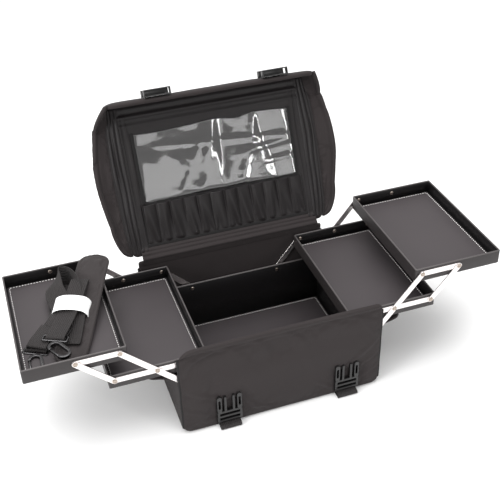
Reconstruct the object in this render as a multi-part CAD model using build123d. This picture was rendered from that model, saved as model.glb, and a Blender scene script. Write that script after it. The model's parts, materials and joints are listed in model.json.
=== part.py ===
from build123d import *
import math
import os

# Soft train case with cantilever trays, standing open.
# Millimetres and degrees. Origin: centre of the footprint, on the surface it stands on.
# +X is the user's right, +Y the hinge side, +Z up.
# A "reach" is a distance from the middle plane towards one side; side is -1 left, +1 right.

# ---- fabric body ----
case_width = 370.0          # outside, end wall to end wall
front_height = 186.0        # top of the front panel
back_height = 183.0         # top of the back panel, under the hinge
end_height = 115.5          # top of the low end walls
panel_thickness = 5.0       # front and back padded panels
end_wall_thickness = 5.0
bottom_thickness = 5.0      # above the webbing channels
panel_corner = 12.0         # rounded upper corners of the front panel
base_corner = 14.0          # plan radius of the bottom panel
edge_binding = 1.2
binding_width = 6.0
hinge_tape_inset = 10.0     # from the case's ends
hinge_tape_thickness = 2.0

# ---- trays ----
tray_width = 168.0
tray_depth = 262.0
tray_height = 27.0
tray_wall = 3.0
tray_floor = 2.5
closed_gap = 1.5            # from the middle plane to a stowed tray

# ---- linkage ----
arm_length = 79.0           # pivot to pivot, one tray level
arm_width = 10.5
arm_thickness = 1.5
bar_thickness = 1.5
link_gap = 0.15             # between bar, arm and rivet head
pivot_inset = 12.6          # pivot line from the tray's inner end
pivot_height = 16.7         # above the underside of a tray
upper_pitch = 71.5          # between the two upper pivots of a tray
stowed_angle = 159.0        # arm above the outward horizontal, trays stowed
open_angle = {-1: 43.9, 1: 50.9}    # the same with the trays open, as posed
shank_radius = 1.9
running_clearance = 0.05    # radial, arm hole on rivet
head_radius = 3.4
head_thickness = 0.7
dome_radius = 4.2
dome_height = 1.5
dome_rounding = 0.9         # share of its height that is rounded
washer_radius = 5.0

# ---- inner box ----
box_wall = 4.0
box_floor = 3.0
box_rim_gap = 0.5           # rim to the lowest stowed tray
box_side_gap = 0.5          # inner box to the end walls
tray_rest_height = 113.0    # underside of the lower tray when stowed

# ---- lid, in its own directions: along the panel from the hinge, and forward from it ----
hinge_height = 188.0
lid_lean = 25.5             # open lid, back from the vertical
lid_length = 290.0          # hinge line to the outside of the lip
lid_half_width = 189.5
lid_thickness = 8.0
lid_setback = 2.5           # panel face behind the hinge line
lid_start = 3.6             # panel edge from the hinge line
hinge_roll = 2.8
lip_depth = 59.0
lip_thickness = 7.0
lip_half_width = 197.0      # at the free edge, slightly flared
lid_corner = 10.0
liner_thickness = 1.0
liner_inset = 3.0           # from the lid panel's ends
liner_start = 11.6          # from the hinge line
liner_end_gap = 1.0         # to the lip

# ---- lid pockets ----
pocket_half_width = 156.0
pocket_low = 96.0
pocket_high = 231.0
pocket_binding = 5.0
pocket_film = 0.5
slots_half_width = 163.0
slots_low = 20.0
slots_high = 92.0
slots_thickness = 2.0

# ---- end wings of the lid and side flaps of the case ----
wing_reach = 191.5          # hinge line of a wing from the middle plane
wing_setback = 2.0
wing_flare = 74.0           # open wing, outward from the panel's normal
wing_thickness = 3.0
wing_start = 26.0
wing_end = 262.0
wing_drop = 46.0            # greatest width of a wing
wing_root = 1.0             # clear of its own hinge line
wing_lip_drop = 28.5        # width where it meets the lip
wing_belly = 0.62           # share of its length at which it is widest
wing_shoulder = (0.22, 38.6)    # share of its length and width where the lower round begins
wing_toe = (0.08, 23.9)         # a point on that round
flap_reach = 187.0
flap_hinge_height = 116.5
flap_length = 50.0
flap_half_width = 118.0
flap_thickness = 6.0
flap_tilt = 18.5            # open flap, above the horizontal
flap_corner = 14.0
flap_clearance = 0.8

# ---- webbing and side-release buckles ----
strap_reach = {-1: 103.0, 1: 119.0}  # middle of each strap, left and right
webbing_width = 38.0
webbing_thickness = 1.8
strap_nose = 15.0           # how far the loop stands out in front of the case
strap_rise = 36.0           # top of the webbing on the front
strap_gap = 0.05
strap_tuck = 4.0            # the front webbing bends this far below the ladder bar
strap_hem = 6.0             # webbing ends below the back panel's top
lid_strap_end = 26.0        # webbing ends above the lip's edge
lid_strap_start = 11.6      # and begins this far from the hinge line
buckle_width = 45.0
prong_thickness = 5.6
ladder_height = 24.0
ladder_bottom = 13.0
prong_height = 36.0
prong_slot = 16.2           # length of the hole in a prong, between its round ends
guide_height = 33.4
prong_width = 8.5
prong_hole = 4.0
guide_width = 4.0
guide_spacing = 15.0
buckle_bar = 4.0
socket_height = 36.0        # female half
socket_thickness = 13.0
socket_wall = 2.0
socket_edge = 4.0           # how far its mouth stands past the lip's edge
socket_back = 8.0           # solid end that the webbing is sewn to
window_height = 14.0
window_depth = 6.0
window_start = 11.0         # from the socket's solid end

# ---- shoulder strap, packed in the left upper tray: reach from the tray's inner edge, depth, height ----
bundle_top = 36.0           # folded webbing above the tray floor
pad_width = 56.0
pad_thickness = 8.0
pad_front = (84.0, -92.0, 8.9)      # centre of the end on the floor
pad_rest = 0.743            # share of its length from there to where it lies on the inner rim
pad_over_rim = 4.09         # its middle above the rim at that place
pad_rise = (tray_height - tray_floor + pad_over_rim - pad_front[2]) / pad_rest
pad_back = (10.0, 92.0, pad_front[2] + pad_rise)    # centre of the raised end
pad_clearance = 0.4
tail_top = 15.0             # webbing ends above the floor
band_thickness = 0.6
ring_wire = 3.0
ring_length = 15.0
hook_length = 46.0
hook_width = 24.0
hook_wire = 5.0
hook_thickness = 6.0
gate_length = 17.0
gate_width = 3.6
gate_thickness = 4.0
gate_clearance = 0.4

# ---- worked out from the above ----
half_tray = tray_depth / 2
bar_face = half_tray + bar_thickness
arm_near = bar_face + link_gap
arm_far = arm_near + arm_thickness
head_face = arm_far + link_gap
panel_inner = head_face + head_thickness + 0.5
panel_outer = panel_inner + panel_thickness
half_case = case_width / 2
base_floor = webbing_thickness + bottom_thickness
stowed_run = arm_length * math.cos(math.radians(stowed_angle))
stowed_rise = arm_length * math.sin(math.radians(stowed_angle))
long_pitch = -stowed_run                    # between the inner pivots of the lower tray
inner_pivot_reach = closed_gap + pivot_inset - stowed_run
outer_pivot_reach = inner_pivot_reach + long_pitch
base_pivot_height = tray_rest_height + pivot_height - stowed_rise
box_rim = tray_rest_height - box_rim_gap
hinge_y = panel_inner + hinge_roll


def block(x0, x1, y0, y1, z0, z1):
    """A box between two corners."""
    centre = Pos((x0 + x1) / 2, (y0 + y1) / 2, (z0 + z1) / 2)
    return centre * Box(abs(x1 - x0), abs(y1 - y0), abs(z1 - z0))


def on_side(shape, side):
    """A shape modelled on the right, put on the given side."""
    return shape if side > 0 else mirror(shape, about=Plane.YZ)


def group(shapes):
    """Separate solids under one name."""
    solids = []
    for shape in shapes:
        solids += list(shape.solids())
    return Compound(children=solids)


def link_pivots(side):
    """Reach and height of the pivots at rest: base pair, lower three, upper two."""
    angle = math.radians(open_angle[side])
    run, rise = arm_length * math.cos(angle), arm_length * math.sin(angle)
    base_inner = (inner_pivot_reach, base_pivot_height)
    base_outer = (outer_pivot_reach, base_pivot_height)
    low_inner = (base_inner[0] + run, base_inner[1] + rise)
    low_middle = (base_outer[0] + run, base_outer[1] + rise)
    low_outer = (low_middle[0] + upper_pitch, low_middle[1])
    top_inner = (low_middle[0] + run, low_middle[1] + rise)
    top_outer = (top_inner[0] + upper_pitch, top_inner[1])
    return base_inner, base_outer, low_inner, low_middle, low_outer, top_inner, top_outer


def at_front_and_back(maker):
    """The same flat piece outside the back wall and, mirrored, outside the front wall."""
    back = maker()
    return [back, mirror(back, about=Plane.XZ)]


def link(holes, angle, start, near, thickness, hole_radius):
    """A flat link with round ends standing in XZ, holes given along it from its first pivot."""
    length = holes[-1] - holes[0]
    face = Pos(holes[0] + length / 2, 0) * SlotCenterToCenter(length, arm_width)
    for hole in holes:
        face -= Pos(hole, 0) * Circle(hole_radius)
    plate = Rot(X=90) * extrude(face, thickness)
    turned = Rot(Y=-angle) * plate
    return Pos(start[0], near + thickness, start[1]) * turned


def cross_bore(pivot, radius, near, far):
    """A round bore along Y through a front or back wall."""
    drill = Rot(X=90) * Cylinder(radius, abs(far - near))
    return Pos(pivot[0], (near + far) / 2, pivot[1]) * drill


def rivet(pivot, wall):
    """A rivet along Y through a wall of the given thickness: dome inside, flat head outside."""
    inside = half_tray - wall
    dome = cross_bore(pivot, dome_radius, inside - dome_height, inside)
    rim = dome.edges().filter_by(GeomType.CIRCLE).sort_by(Axis.Y)[0]
    dome = fillet(rim, dome_height * dome_rounding)
    shank = cross_bore(pivot, shank_radius, inside - dome_height / 2, head_face + head_thickness / 2)
    return dome + shank + cross_bore(pivot, head_radius, head_face, head_face + head_thickness)


def rivets(pivots, wall):
    made = []
    for pivot in pivots:
        made += at_front_and_back(lambda: rivet(pivot, wall))
    return made


# ---- fabric body ----

def bottom_panel():
    """The padded bottom, with shallow channels that the webbing lies in flush."""
    slab = extrude(RectangleRounded(case_width, 2 * panel_outer, base_corner), base_floor)
    half = webbing_width / 2 + strap_gap
    for side in (-1, 1):
        middle = side * strap_reach[side]
        slab -= block(middle - half, middle + half, -panel_outer - 1, panel_outer + 1,
                      -1, webbing_thickness + strap_gap)
    return slab


def front_panel():
    height = front_height - base_floor
    face = Rectangle(case_width, height)
    face = fillet(face.vertices().group_by(Axis.Y)[-1], panel_corner)
    plate = Rot(X=90) * extrude(face, panel_thickness)
    return Pos(0, -panel_inner, base_floor + height / 2) * plate


def back_panel():
    return block(-half_case, half_case, panel_inner, panel_outer, base_floor, back_height)


def end_wall(side):
    """A low end wall, cut away at its upper corners where the arms rest."""
    wall = block(half_case - end_wall_thickness, half_case, -panel_inner, panel_inner, base_floor, end_height)
    notch_floor = end_height - arm_width
    for direction in (-1, 1):
        wall -= block(half_case - 2 * end_wall_thickness, half_case + 1, direction * (half_tray + link_gap),
                      direction * (panel_inner + 1), notch_floor, end_height + 1)
    return on_side(wall, side)


def edge_bindings():
    """Tape on the free upright edges above the end walls."""
    strips = []
    for side in (-1, 1):
        x0, x1 = side * half_case, side * (half_case + edge_binding)
        front_top = front_height - panel_corner
        middle = (panel_inner + panel_outer) / 2
        half = binding_width / 2
        strips.append(block(x0, x1, -middle - half, -middle + half, end_height, front_top))
        strips.append(block(x0, x1, middle - half, middle + half, end_height, back_height))
    return group(strips)


def hinge_tape():
    """The sewn roll that the lid turns on, with its tape down to the back panel."""
    reach = half_case - hinge_tape_inset
    half = hinge_tape_thickness / 2
    roll = Pos(0, hinge_y, hinge_height) * (Rot(Y=90) * Cylinder(hinge_roll, 2 * reach))
    tape = block(-reach, reach, hinge_y - half, hinge_y + half, back_height, hinge_height)
    return roll + tape


def side_flap(side):
    """A padded flap folded out over the end wall, at its resting tilt."""
    plan = Rectangle(flap_length, 2 * flap_half_width)
    plan = fillet(plan.vertices().group_by(Axis.X)[-1], flap_corner)
    flat = Pos(flap_clearance + flap_length / 2, 0, -flap_thickness) * extrude(plan, flap_thickness)
    tilted = Rot(Y=-flap_tilt) * flat
    return on_side(Pos(flap_reach, 0, flap_hinge_height) * tilted, side)


# ---- inner box ----

def box_reach():
    return half_case - end_wall_thickness - box_side_gap


def inner_box_floor():
    inside_x, inside_y = box_reach() - box_wall, half_tray - box_wall
    return block(-inside_x, inside_x, -inside_y, inside_y, base_floor, base_floor + box_floor)


def inner_box_walls():
    walls = []
    reach = box_reach()
    for direction in (-1, 1):
        wall = block(-reach, reach, direction * (half_tray - box_wall), direction * half_tray,
                     base_floor, box_rim)
        for side in (-1, 1):
            for pivot in link_pivots(side)[:2]:
                place = (side * pivot[0], pivot[1])
                near, far = direction * (half_tray - box_wall - 1), direction * (half_tray + 1)
                wall -= cross_bore(place, shank_radius, near, far)
        walls.append(wall)
        inside_y = half_tray - box_wall
        walls.append(block(direction * (reach - box_wall), direction * reach, -inside_y, inside_y,
                           base_floor, box_rim))
    return group(walls)


def base_rivets(side):
    pivots = link_pivots(side)[:2]
    return on_side(group(rivets(pivots, box_wall)), side)


def pivot_washers():
    """Spacers between the inner box and the arms, as thick as the bars on the trays."""
    washers = []
    for side in (-1, 1):
        for pivot in link_pivots(side)[:2]:
            disc = cross_bore(pivot, washer_radius, half_tray, bar_face)
            disc -= cross_bore(pivot, shank_radius, half_tray - 1, bar_face + 1)
            washers += [on_side(piece, side) for piece in at_front_and_back(lambda: disc)]
    return group(washers)


# ---- trays and linkage ----

def tray_place(side, level):
    """Inner reach and underside height of a tray; level 0 is lower, 1 is upper."""
    pivot = link_pivots(side)[2 if level == 0 else 5]
    return pivot[0] - pivot_inset, pivot[1] - pivot_height


def tray_pivots(side, level):
    pivots = link_pivots(side)
    return pivots[2:5] if level == 0 else pivots[5:7]


def tray_floor_board(side, level):
    reach, height = tray_place(side, level)
    inside = half_tray - tray_wall
    board = block(reach + tray_wall, reach + tray_width - tray_wall, -inside, inside,
                  height, height + tray_floor)
    return on_side(board, side)


def tray_walls(side, level):
    reach, height = tray_place(side, level)
    top = height + tray_height
    inside = half_tray - tray_wall
    walls = []
    for direction in (-1, 1):
        wall = block(reach, reach + tray_width, direction * inside, direction * half_tray, height, top)
        for pivot in tray_pivots(side, level):
            wall -= cross_bore(pivot, shank_radius, direction * (inside - 1), direction * (half_tray + 1))
        walls.append(wall)
    for start in (reach, reach + tray_width - tray_wall):
        walls.append(block(start, start + tray_wall, -inside, inside, height, top))
    return on_side(group(walls), side)


def tray_bars(side, level):
    pivots = tray_pivots(side, level)
    holes = [pivot[0] - pivots[0][0] for pivot in pivots]
    bars = at_front_and_back(lambda: link(holes, 0, pivots[0], half_tray, bar_thickness, shank_radius))
    return on_side(group(bars), side)


def tray_rivets(side, level):
    return on_side(group(rivets(tray_pivots(side, level), tray_wall)), side)


def arms(side, first, count):
    """Front and back arms from one pivot, spanning one or two tray levels."""
    holes = [arm_length * step for step in range(count + 1)]
    start = link_pivots(side)[first]
    hole_radius = shank_radius + running_clearance
    pair = at_front_and_back(
        lambda: link(holes, open_angle[side], start, arm_near, arm_thickness, hole_radius))
    return on_side(group(pair), side)


# ---- lid: built flat with x across, y along from the hinge, z forward, then leaned back ----

def on_lid(shape):
    """From the lid's flat directions to the open lid: along the panel, and forward from it."""
    turned = Rot(X=90 - lid_lean) * shape
    return Pos(0, hinge_y, hinge_height) * turned


def lid_panel():
    width, length = 2 * lid_half_width, lid_length - lip_thickness - lid_start
    plan = Rectangle(width, length)
    plan = fillet(plan.vertices().group_by(Axis.Y)[0], lid_corner)
    slab = extrude(plan, lid_thickness)
    return on_lid(Pos(0, lid_start + length / 2, -lid_setback - lid_thickness) * slab)


def lid_front_lip():
    """The lid's front wall: a slightly flared upright band."""
    low = -lid_setback - lid_thickness
    corners = [(-lid_half_width, low), (lid_half_width, low), (lip_half_width, lip_depth),
               (-lip_half_width, lip_depth)]
    face = Polyline(*corners, close=True)
    face = make_face(face)
    face = fillet(face.vertices().group_by(Axis.Y)[-1], lid_corner)
    band = Rot(X=90) * extrude(face, lip_thickness)
    return on_lid(Pos(0, lid_length, 0) * band)


def lid_liner():
    reach = lid_half_width - liner_inset
    return on_lid(block(-reach, reach, liner_start, lid_length - lip_thickness - liner_end_gap, -lid_setback,
                        liner_thickness - lid_setback))


def pocket_face():
    return liner_thickness - lid_setback


def clear_pocket():
    inner = pocket_half_width - pocket_binding
    low = pocket_face() + pocket_film
    return on_lid(block(-inner, inner, pocket_low + pocket_binding, pocket_high, low, low + pocket_film))


def clear_pocket_binding():
    """Tape on the bottom and sides of the clear pocket."""
    face = pocket_face()
    top = face + 3 * pocket_film
    frame = block(-pocket_half_width, pocket_half_width, pocket_low, pocket_high, face, top)
    inner = pocket_half_width - pocket_binding
    opening = block(-inner, inner, pocket_low + pocket_binding, pocket_high + 1, face - 1, top + 1)
    return on_lid(frame - opening)


def brush_slots():
    face = pocket_face()
    return on_lid(block(-slots_half_width, slots_half_width, slots_low, slots_high,
                        face, face + slots_thickness))


def lid_wing(side):
    """A padded end wing with a curved free edge, flared outward from the lid's end."""
    run = wing_end - wing_start
    belly = (wing_start + run * wing_belly, wing_drop)
    shoulder = (wing_start + run * wing_shoulder[0], wing_shoulder[1])
    toe = (wing_start + run * wing_toe[0], wing_toe[1])
    outline = [
        Line((wing_start, wing_root), (wing_end, wing_root)),
        Line((wing_end, wing_root), (wing_end, wing_lip_drop)),
        ThreePointArc((wing_end, wing_lip_drop), belly, shoulder),
        ThreePointArc(shoulder, toe, (wing_start, wing_root)),
    ]
    slab = extrude(make_face(Curve() + outline), wing_thickness)
    # the sheet's x runs along the lid and its y outwards across the wing
    flare = math.radians(wing_flare)
    upright = Plane(origin=(wing_reach, 0, -wing_setback), x_dir=(0, 1, 0),
                    z_dir=(math.cos(flare), 0, -math.sin(flare)))
    return on_side(on_lid(upright * slab), side)


# ---- webbing and buckles ----

def webbing(path):
    """Two straps, left and right, from a path given as depth and height."""
    ribbon = Plane.YZ * extrude(trace(path, webbing_thickness), webbing_width)
    return [Pos(side * strap_reach[side] - webbing_width / 2, 0, 0) * ribbon for side in (-1, 1)]


def base_straps():
    """Webbing under the case: up the front through the buckle, and up the back to the hinge."""
    half = webbing_thickness / 2
    front = -panel_outer - half - strap_gap
    nose = -panel_outer - strap_nose
    back = panel_outer + half + strap_gap
    path = FilletPolyline(
        (front, strap_rise), (front, ladder_bottom - strap_tuck), (nose, strap_nose / 2), (nose, half),
        (back, half), (back, back_height - strap_hem), radius=[4, 2, 2, half + strap_gap])
    return group(webbing(path))


def male_buckle(side):
    """Prong half of a side-release buckle, prongs up, with its ladder bar below."""
    half = buckle_width / 2
    ladder = Rectangle(buckle_width, ladder_height)
    ladder = fillet(ladder.vertices(), 3)
    slot = Rectangle(buckle_width - 2 * buckle_bar, (ladder_height - 3 * buckle_bar) / 2)
    step = (ladder_height - 3 * buckle_bar) / 4 + buckle_bar / 2
    ladder = ladder - Pos(0, step) * slot - Pos(0, -step) * slot
    plate = Pos(0, ladder_height / 2) * ladder
    for direction in (-1, 1):
        prong_x = direction * (half - prong_width / 2)
        prong = SlotCenterToCenter(prong_height - prong_width, prong_width, rotation=90)
        prong -= SlotCenterToCenter(prong_slot, prong_hole, rotation=90)
        plate += Pos(prong_x, ladder_height + prong_height / 2 - 1) * prong
        guide_x = direction * guide_spacing / 2
        plate += Pos(guide_x, ladder_height + (guide_height - 1) / 2) * Rectangle(guide_width, guide_height)
    body = Rot(X=90) * extrude(plate, prong_thickness)
    front = -panel_outer - webbing_thickness - 2 * strap_gap
    return Pos(side * strap_reach[side], front, ladder_bottom) * body


def lid_straps():
    """Webbing over the lid from the hinge seam to the lip's edge."""
    half = webbing_thickness / 2
    outside = -lid_setback - lid_thickness - half - strap_gap
    beyond = lid_length + half + strap_gap
    path = FilletPolyline((lid_strap_start, outside), (beyond, outside), (beyond, lip_depth - lid_strap_end),
                          radius=half + strap_gap)
    return group([on_lid(strap) for strap in webbing(path)])


def female_buckle(side):
    """Socket half of the buckle on the outside of the lip, its mouth past the lip's edge."""
    mouth = lip_depth + socket_edge
    near = lid_length + webbing_thickness + 2 * strap_gap
    half = buckle_width / 2 + socket_wall
    shell = block(-half, half, near, near + socket_thickness, mouth - socket_height, mouth)
    cavity = block(-half + socket_wall, half - socket_wall, near + socket_wall,
                   near + socket_thickness - socket_wall, mouth - socket_height + socket_back, mouth + 1)
    shell -= cavity
    for direction in (-1, 1):
        low = mouth - socket_height + window_start
        window = block(direction * (half - window_depth), direction * (half + 1),
                       near - 1, near + socket_thickness + 1, low, low + window_height)
        shell -= window
    return on_lid(Pos(side * strap_reach[side], 0, 0) * shell)


# ---- shoulder strap bundle: modelled on the right and mirrored into the left upper tray ----

def in_tray(shape):
    """From the tray's inner edge, middle and floor to the left upper tray."""
    reach, height = tray_place(-1, 1)
    return on_side(Pos(reach, 0, height + tray_floor) * shape, -1)


def outline(points, height, base=0.3):
    return Pos(0, 0, base) * extrude(make_face(Polyline(*points, close=True)), height - base)


def pad_slab(margin=0.0):
    """The sloping pad, its raised end over the tray's inner rim."""
    back, front = Vector(*pad_back), Vector(*pad_front)
    along = front - back
    plane = Plane(origin=(back + front) / 2, x_dir=along, z_dir=along.cross(Vector(0, 0, 1)).cross(along))
    flat = SlotCenterToCenter(along.length, pad_width + 2 * margin)
    thickness = pad_thickness + 2 * margin
    return plane * (Pos(0, 0, -thickness / 2) * extrude(flat, thickness))


def shoulder_pad():
    return in_tray(pad_slab())


def strap_webbing():
    """Folded webbing heaped beside and over the pad, under the paper band."""
    plan = [(36, 102), (70, 92), (90, 62), (98, 34), (106, 6), (84, -24), (46, -44), (34, -8), (26, 60)]
    heap = outline(plan, bundle_top)
    return in_tray(heap - pad_slab(pad_clearance))


def strap_tails():
    """The ends of the webbing, fanned out on the floor towards the hooks."""
    fan = outline([(107, 4), (134, -24), (150, -50), (120, -66), (100, -60), (86, -25)], tail_top)
    return in_tray(fan - pad_slab(pad_clearance))


def paper_band():
    """A paper sleeve lying over the middle of the heap."""
    edge = 0.3
    low, high = bundle_top + edge, bundle_top + edge + band_thickness
    plan = [(90 + edge, 42), (106 + edge, 8), (46, -40), (35, -4)]
    sheet = Pos(0, 0, low) * extrude(make_face(Polyline(*plan, close=True)), high - low)
    return in_tray(sheet)


def strap_ring(place, turn):
    ring = RectangleRounded(webbing_width + 2 * ring_wire, ring_length, 3)
    ring -= RectangleRounded(webbing_width, ring_length - 2 * ring_wire, 1.5)
    return Pos(*place) * (Rot(Z=turn) * extrude(ring, ring_wire))


def strap_rings():
    """The rings that join the webbing ends to their hooks."""
    return in_tray(group([strap_ring((138, -66, 0.3), 28), strap_ring((104, -68, 19.5), 28)]))


HOOK_PLACES = {"outer": ((141, -76, 0.3), -88), "inner": ((113, -81, 20.0), -118)}


def place_hook(shape, name):
    place, turn = HOOK_PLACES[name]
    return in_tray(Pos(*place) * (Rot(Z=turn) * shape))


def snap_hook(name):
    """A snap hook lying on its side: a long loop, open where the gate closes it."""
    body = Pos(hook_length / 2, 0) * SlotOverall(hook_length, hook_width)
    body -= Pos(hook_length / 2, 0) * SlotOverall(hook_length - 2 * hook_wire, hook_width - 2 * hook_wire)
    mouth_start, mouth_end = gate_span()
    mouth = Rectangle(mouth_end - mouth_start, 2 * hook_wire + 2)
    body -= Pos((mouth_start + mouth_end) / 2, hook_width / 2) * mouth
    return place_hook(extrude(body, hook_thickness), name)


def gate_span():
    """Start and end of the hook's mouth along the hook."""
    start = (hook_length - gate_length - gate_width) / 2 - gate_clearance
    return start, hook_length - start


def gate_pivot():
    start = gate_span()[0] + gate_clearance + gate_width / 2
    return start, (hook_width - hook_wire) / 2


def hook_gate(name):
    """The sprung bar that closes a hook's mouth; it swings inwards on its near end."""
    start, offset_y = gate_pivot()
    bar = Pos(start + gate_length / 2, offset_y) * SlotCenterToCenter(gate_length, gate_width)
    lift = (hook_thickness - gate_thickness) / 2
    return place_hook(Pos(0, 0, lift) * extrude(bar, gate_thickness), name)


def node_makers():
    """Every part's name and the call that makes it."""
    makers = {
        "bottom_panel": bottom_panel,
        "front_panel": front_panel,
        "back_panel": back_panel,
        "edge_bindings": edge_bindings,
        "hinge_tape": hinge_tape,
        "inner_box_floor": inner_box_floor,
        "inner_box_walls": inner_box_walls,
        "pivot_washers": pivot_washers,
        "base_straps": base_straps,
        "lid_panel": lid_panel,
        "lid_front_lip": lid_front_lip,
        "lid_liner": lid_liner,
        "clear_pocket": clear_pocket,
        "clear_pocket_binding": clear_pocket_binding,
        "brush_slots": brush_slots,
        "lid_straps": lid_straps,
        "shoulder_pad": shoulder_pad,
        "strap_webbing": strap_webbing,
        "strap_tails": strap_tails,
        "paper_band": paper_band,
        "strap_rings": strap_rings,
    }
    for side, word in ((-1, "left"), (1, "right")):
        makers[f"{word}_end_wall"] = lambda side=side: end_wall(side)
        makers[f"{word}_side_flap"] = lambda side=side: side_flap(side)
        makers[f"{word}_lid_wing"] = lambda side=side: lid_wing(side)
        makers[f"{word}_male_buckle"] = lambda side=side: male_buckle(side)
        makers[f"{word}_female_buckle"] = lambda side=side: female_buckle(side)
        makers[f"{word}_base_rivets"] = lambda side=side: base_rivets(side)
        makers[f"{word}_long_arms"] = lambda side=side: arms(side, 1, 2)
        makers[f"{word}_lower_short_arms"] = lambda side=side: arms(side, 0, 1)
        makers[f"{word}_upper_short_arms"] = lambda side=side: arms(side, 4, 1)
        for level, height in ((0, "lower"), (1, "upper")):
            tray = f"{word}_{height}_tray"
            makers[f"{tray}_floor"] = lambda side=side, level=level: tray_floor_board(side, level)
            makers[f"{tray}_walls"] = lambda side=side, level=level: tray_walls(side, level)
            makers[f"{tray}_bars"] = lambda side=side, level=level: tray_bars(side, level)
            makers[f"{tray}_rivets"] = lambda side=side, level=level: tray_rivets(side, level)
    for name in HOOK_PLACES:
        makers[f"{name}_snap_hook"] = lambda name=name: snap_hook(name)
        makers[f"{name}_hook_gate"] = lambda name=name: hook_gate(name)
    return makers


def print_places():
    """Joint axes and other places that go with the parts, in millimetres."""
    print("lid hinge", round(hinge_y, 3), hinge_height)
    for side in (-1, 1):
        pivots = [(round(side * pivot[0], 3), round(pivot[1], 3)) for pivot in link_pivots(side)]
        print("pivots", side, pivots)
        for level in (0, 1):
            print("tray", side, level, [round(value, 3) for value in tray_place(side, level)])
    for name in HOOK_PLACES:
        start, offset_y = gate_pivot()
        centre = place_hook(Pos(start, offset_y, 0) * Box(1, 1, 1), name).center()
        print("gate", name, [round(value, 3) for value in centre])


def main():
    os.makedirs("parts", exist_ok=True)
    for name, maker in node_makers().items():
        export_step(maker(), f"parts/{name}.step")
    print_places()


main()
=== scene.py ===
"""Soft makeup train case with cantilever trays, standing open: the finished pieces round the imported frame."""

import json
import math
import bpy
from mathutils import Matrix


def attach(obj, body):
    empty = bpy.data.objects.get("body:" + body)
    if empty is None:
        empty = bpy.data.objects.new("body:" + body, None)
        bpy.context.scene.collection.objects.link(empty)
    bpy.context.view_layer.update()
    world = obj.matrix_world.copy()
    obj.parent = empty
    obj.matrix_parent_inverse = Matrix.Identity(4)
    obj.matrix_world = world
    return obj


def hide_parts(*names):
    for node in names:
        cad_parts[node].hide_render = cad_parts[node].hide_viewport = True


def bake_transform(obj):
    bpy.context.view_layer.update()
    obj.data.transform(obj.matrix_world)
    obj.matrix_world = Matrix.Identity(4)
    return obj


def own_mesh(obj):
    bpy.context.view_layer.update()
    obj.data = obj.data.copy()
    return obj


bl_info = {
    "name": "Makeup train case",
    "version": (1, 0, 0),
    "blender": (4, 5, 0),
    "location": "3D View > Sidebar > Train case",
    "description": "Fabric cover, lined lid, trays, linkage and packed strap of a soft train case",
    "category": "Object",
}

import bmesh
import bpy
import numpy as np
from bpy.props import FloatProperty, FloatVectorProperty, IntProperty, PointerProperty
from mathutils import Matrix, Vector

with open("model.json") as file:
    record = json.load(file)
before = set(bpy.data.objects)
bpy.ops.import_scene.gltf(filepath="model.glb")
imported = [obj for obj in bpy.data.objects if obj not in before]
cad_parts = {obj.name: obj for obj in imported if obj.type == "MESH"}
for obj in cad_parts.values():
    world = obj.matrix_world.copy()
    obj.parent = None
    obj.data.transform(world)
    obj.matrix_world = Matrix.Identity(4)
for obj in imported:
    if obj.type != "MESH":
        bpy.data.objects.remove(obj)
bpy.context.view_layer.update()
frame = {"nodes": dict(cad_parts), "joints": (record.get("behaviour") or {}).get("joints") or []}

MM = 0.001
SIDES = ((-1, "left"), (1, "right"))
LEVELS = ("lower", "upper")
JOINTS = {joint["name"]: joint for joint in frame["joints"]}


# ---- places read from the frame ----

def points_of(mesh):
    points = np.zeros(len(mesh.vertices) * 3)
    mesh.vertices.foreach_get("co", points)
    return points.reshape(-1, 3)


def vertices_of(node):
    return points_of(frame["nodes"][node].data)


def box_of(node):
    points = vertices_of(node)
    return points.min(0), points.max(0)


def pivot_of(joint):
    return np.array(JOINTS[joint]["pos_m"], float)


# The lid's own directions: across, along from the hinge, and forward out of its inner face.
HINGE = pivot_of("lid_hinge")
ALONG = np.abs(np.array(JOINTS["right_lid_wing_fold"]["axis"], float))
FORWARD = np.array([0.0, -ALONG[2], ALONG[1]])
LID_AXES = np.array([[1.0, 0.0, 0.0], ALONG, FORWARD])


def lid_box(node):
    """Lowest and highest of a lid node across, along and forward."""
    local = (vertices_of(node) - HINGE) @ LID_AXES.T
    return local.min(0), local.max(0)


def on_lid(across, along, forward):
    across, along, forward = np.broadcast_arrays(across, along, forward)
    return HINGE + across[..., None] * LID_AXES[0] + along[..., None] * ALONG + forward[..., None] * FORWARD


STRAP_MIDDLES = {side: float(np.mean([corner[0] for corner in box_of(f"{word}_male_buckle")]))
                 for side, word in SIDES}
STRAP_HALF = 19 * MM
ARM_WIDTH = 10.5 * MM


# ---- sizes and colours that a user would change ----

def length(name, description, default):
    return FloatProperty(name=name, description=description, default=default, unit="LENGTH", precision=4)


def colour(name, description, default):
    return FloatVectorProperty(name=name, description=description, default=default, subtype="COLOR",
                               min=0, max=1)


class CaseSizes(bpy.types.PropertyGroup):
    panel_swell: length("Panel swell", "How far the padding stands out between the seams", 0.0026)
    edge_roll: length("Edge roll", "Height of the padded roll on the upper panel edges", 0.011)
    weave_pitch: length("Weave pitch", "Thread spacing of the nylon fabric", 0.0011)
    rib_pitch: length("Rib pitch", "Spacing of the ribs along the webbing", 0.0032)
    stitch_length: length("Stitch length", "Length of one stitch", 0.0034)
    stitch_gap: length("Stitch gap", "Bare length between two stitches", 0.0018)
    stitch_thickness: length("Stitch thickness", "Diameter of the sewing thread", 0.0014)
    slot_count: IntProperty(name="Brush slots", description="Gathered slots under the clear pocket",
                            default=12, min=2)
    slot_depth: length("Slot depth", "How far a gathered slot stands out", 0.0100)
    film_swell: length("Film swell", "How far the clear film stands off the lining", 0.0050)


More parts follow.
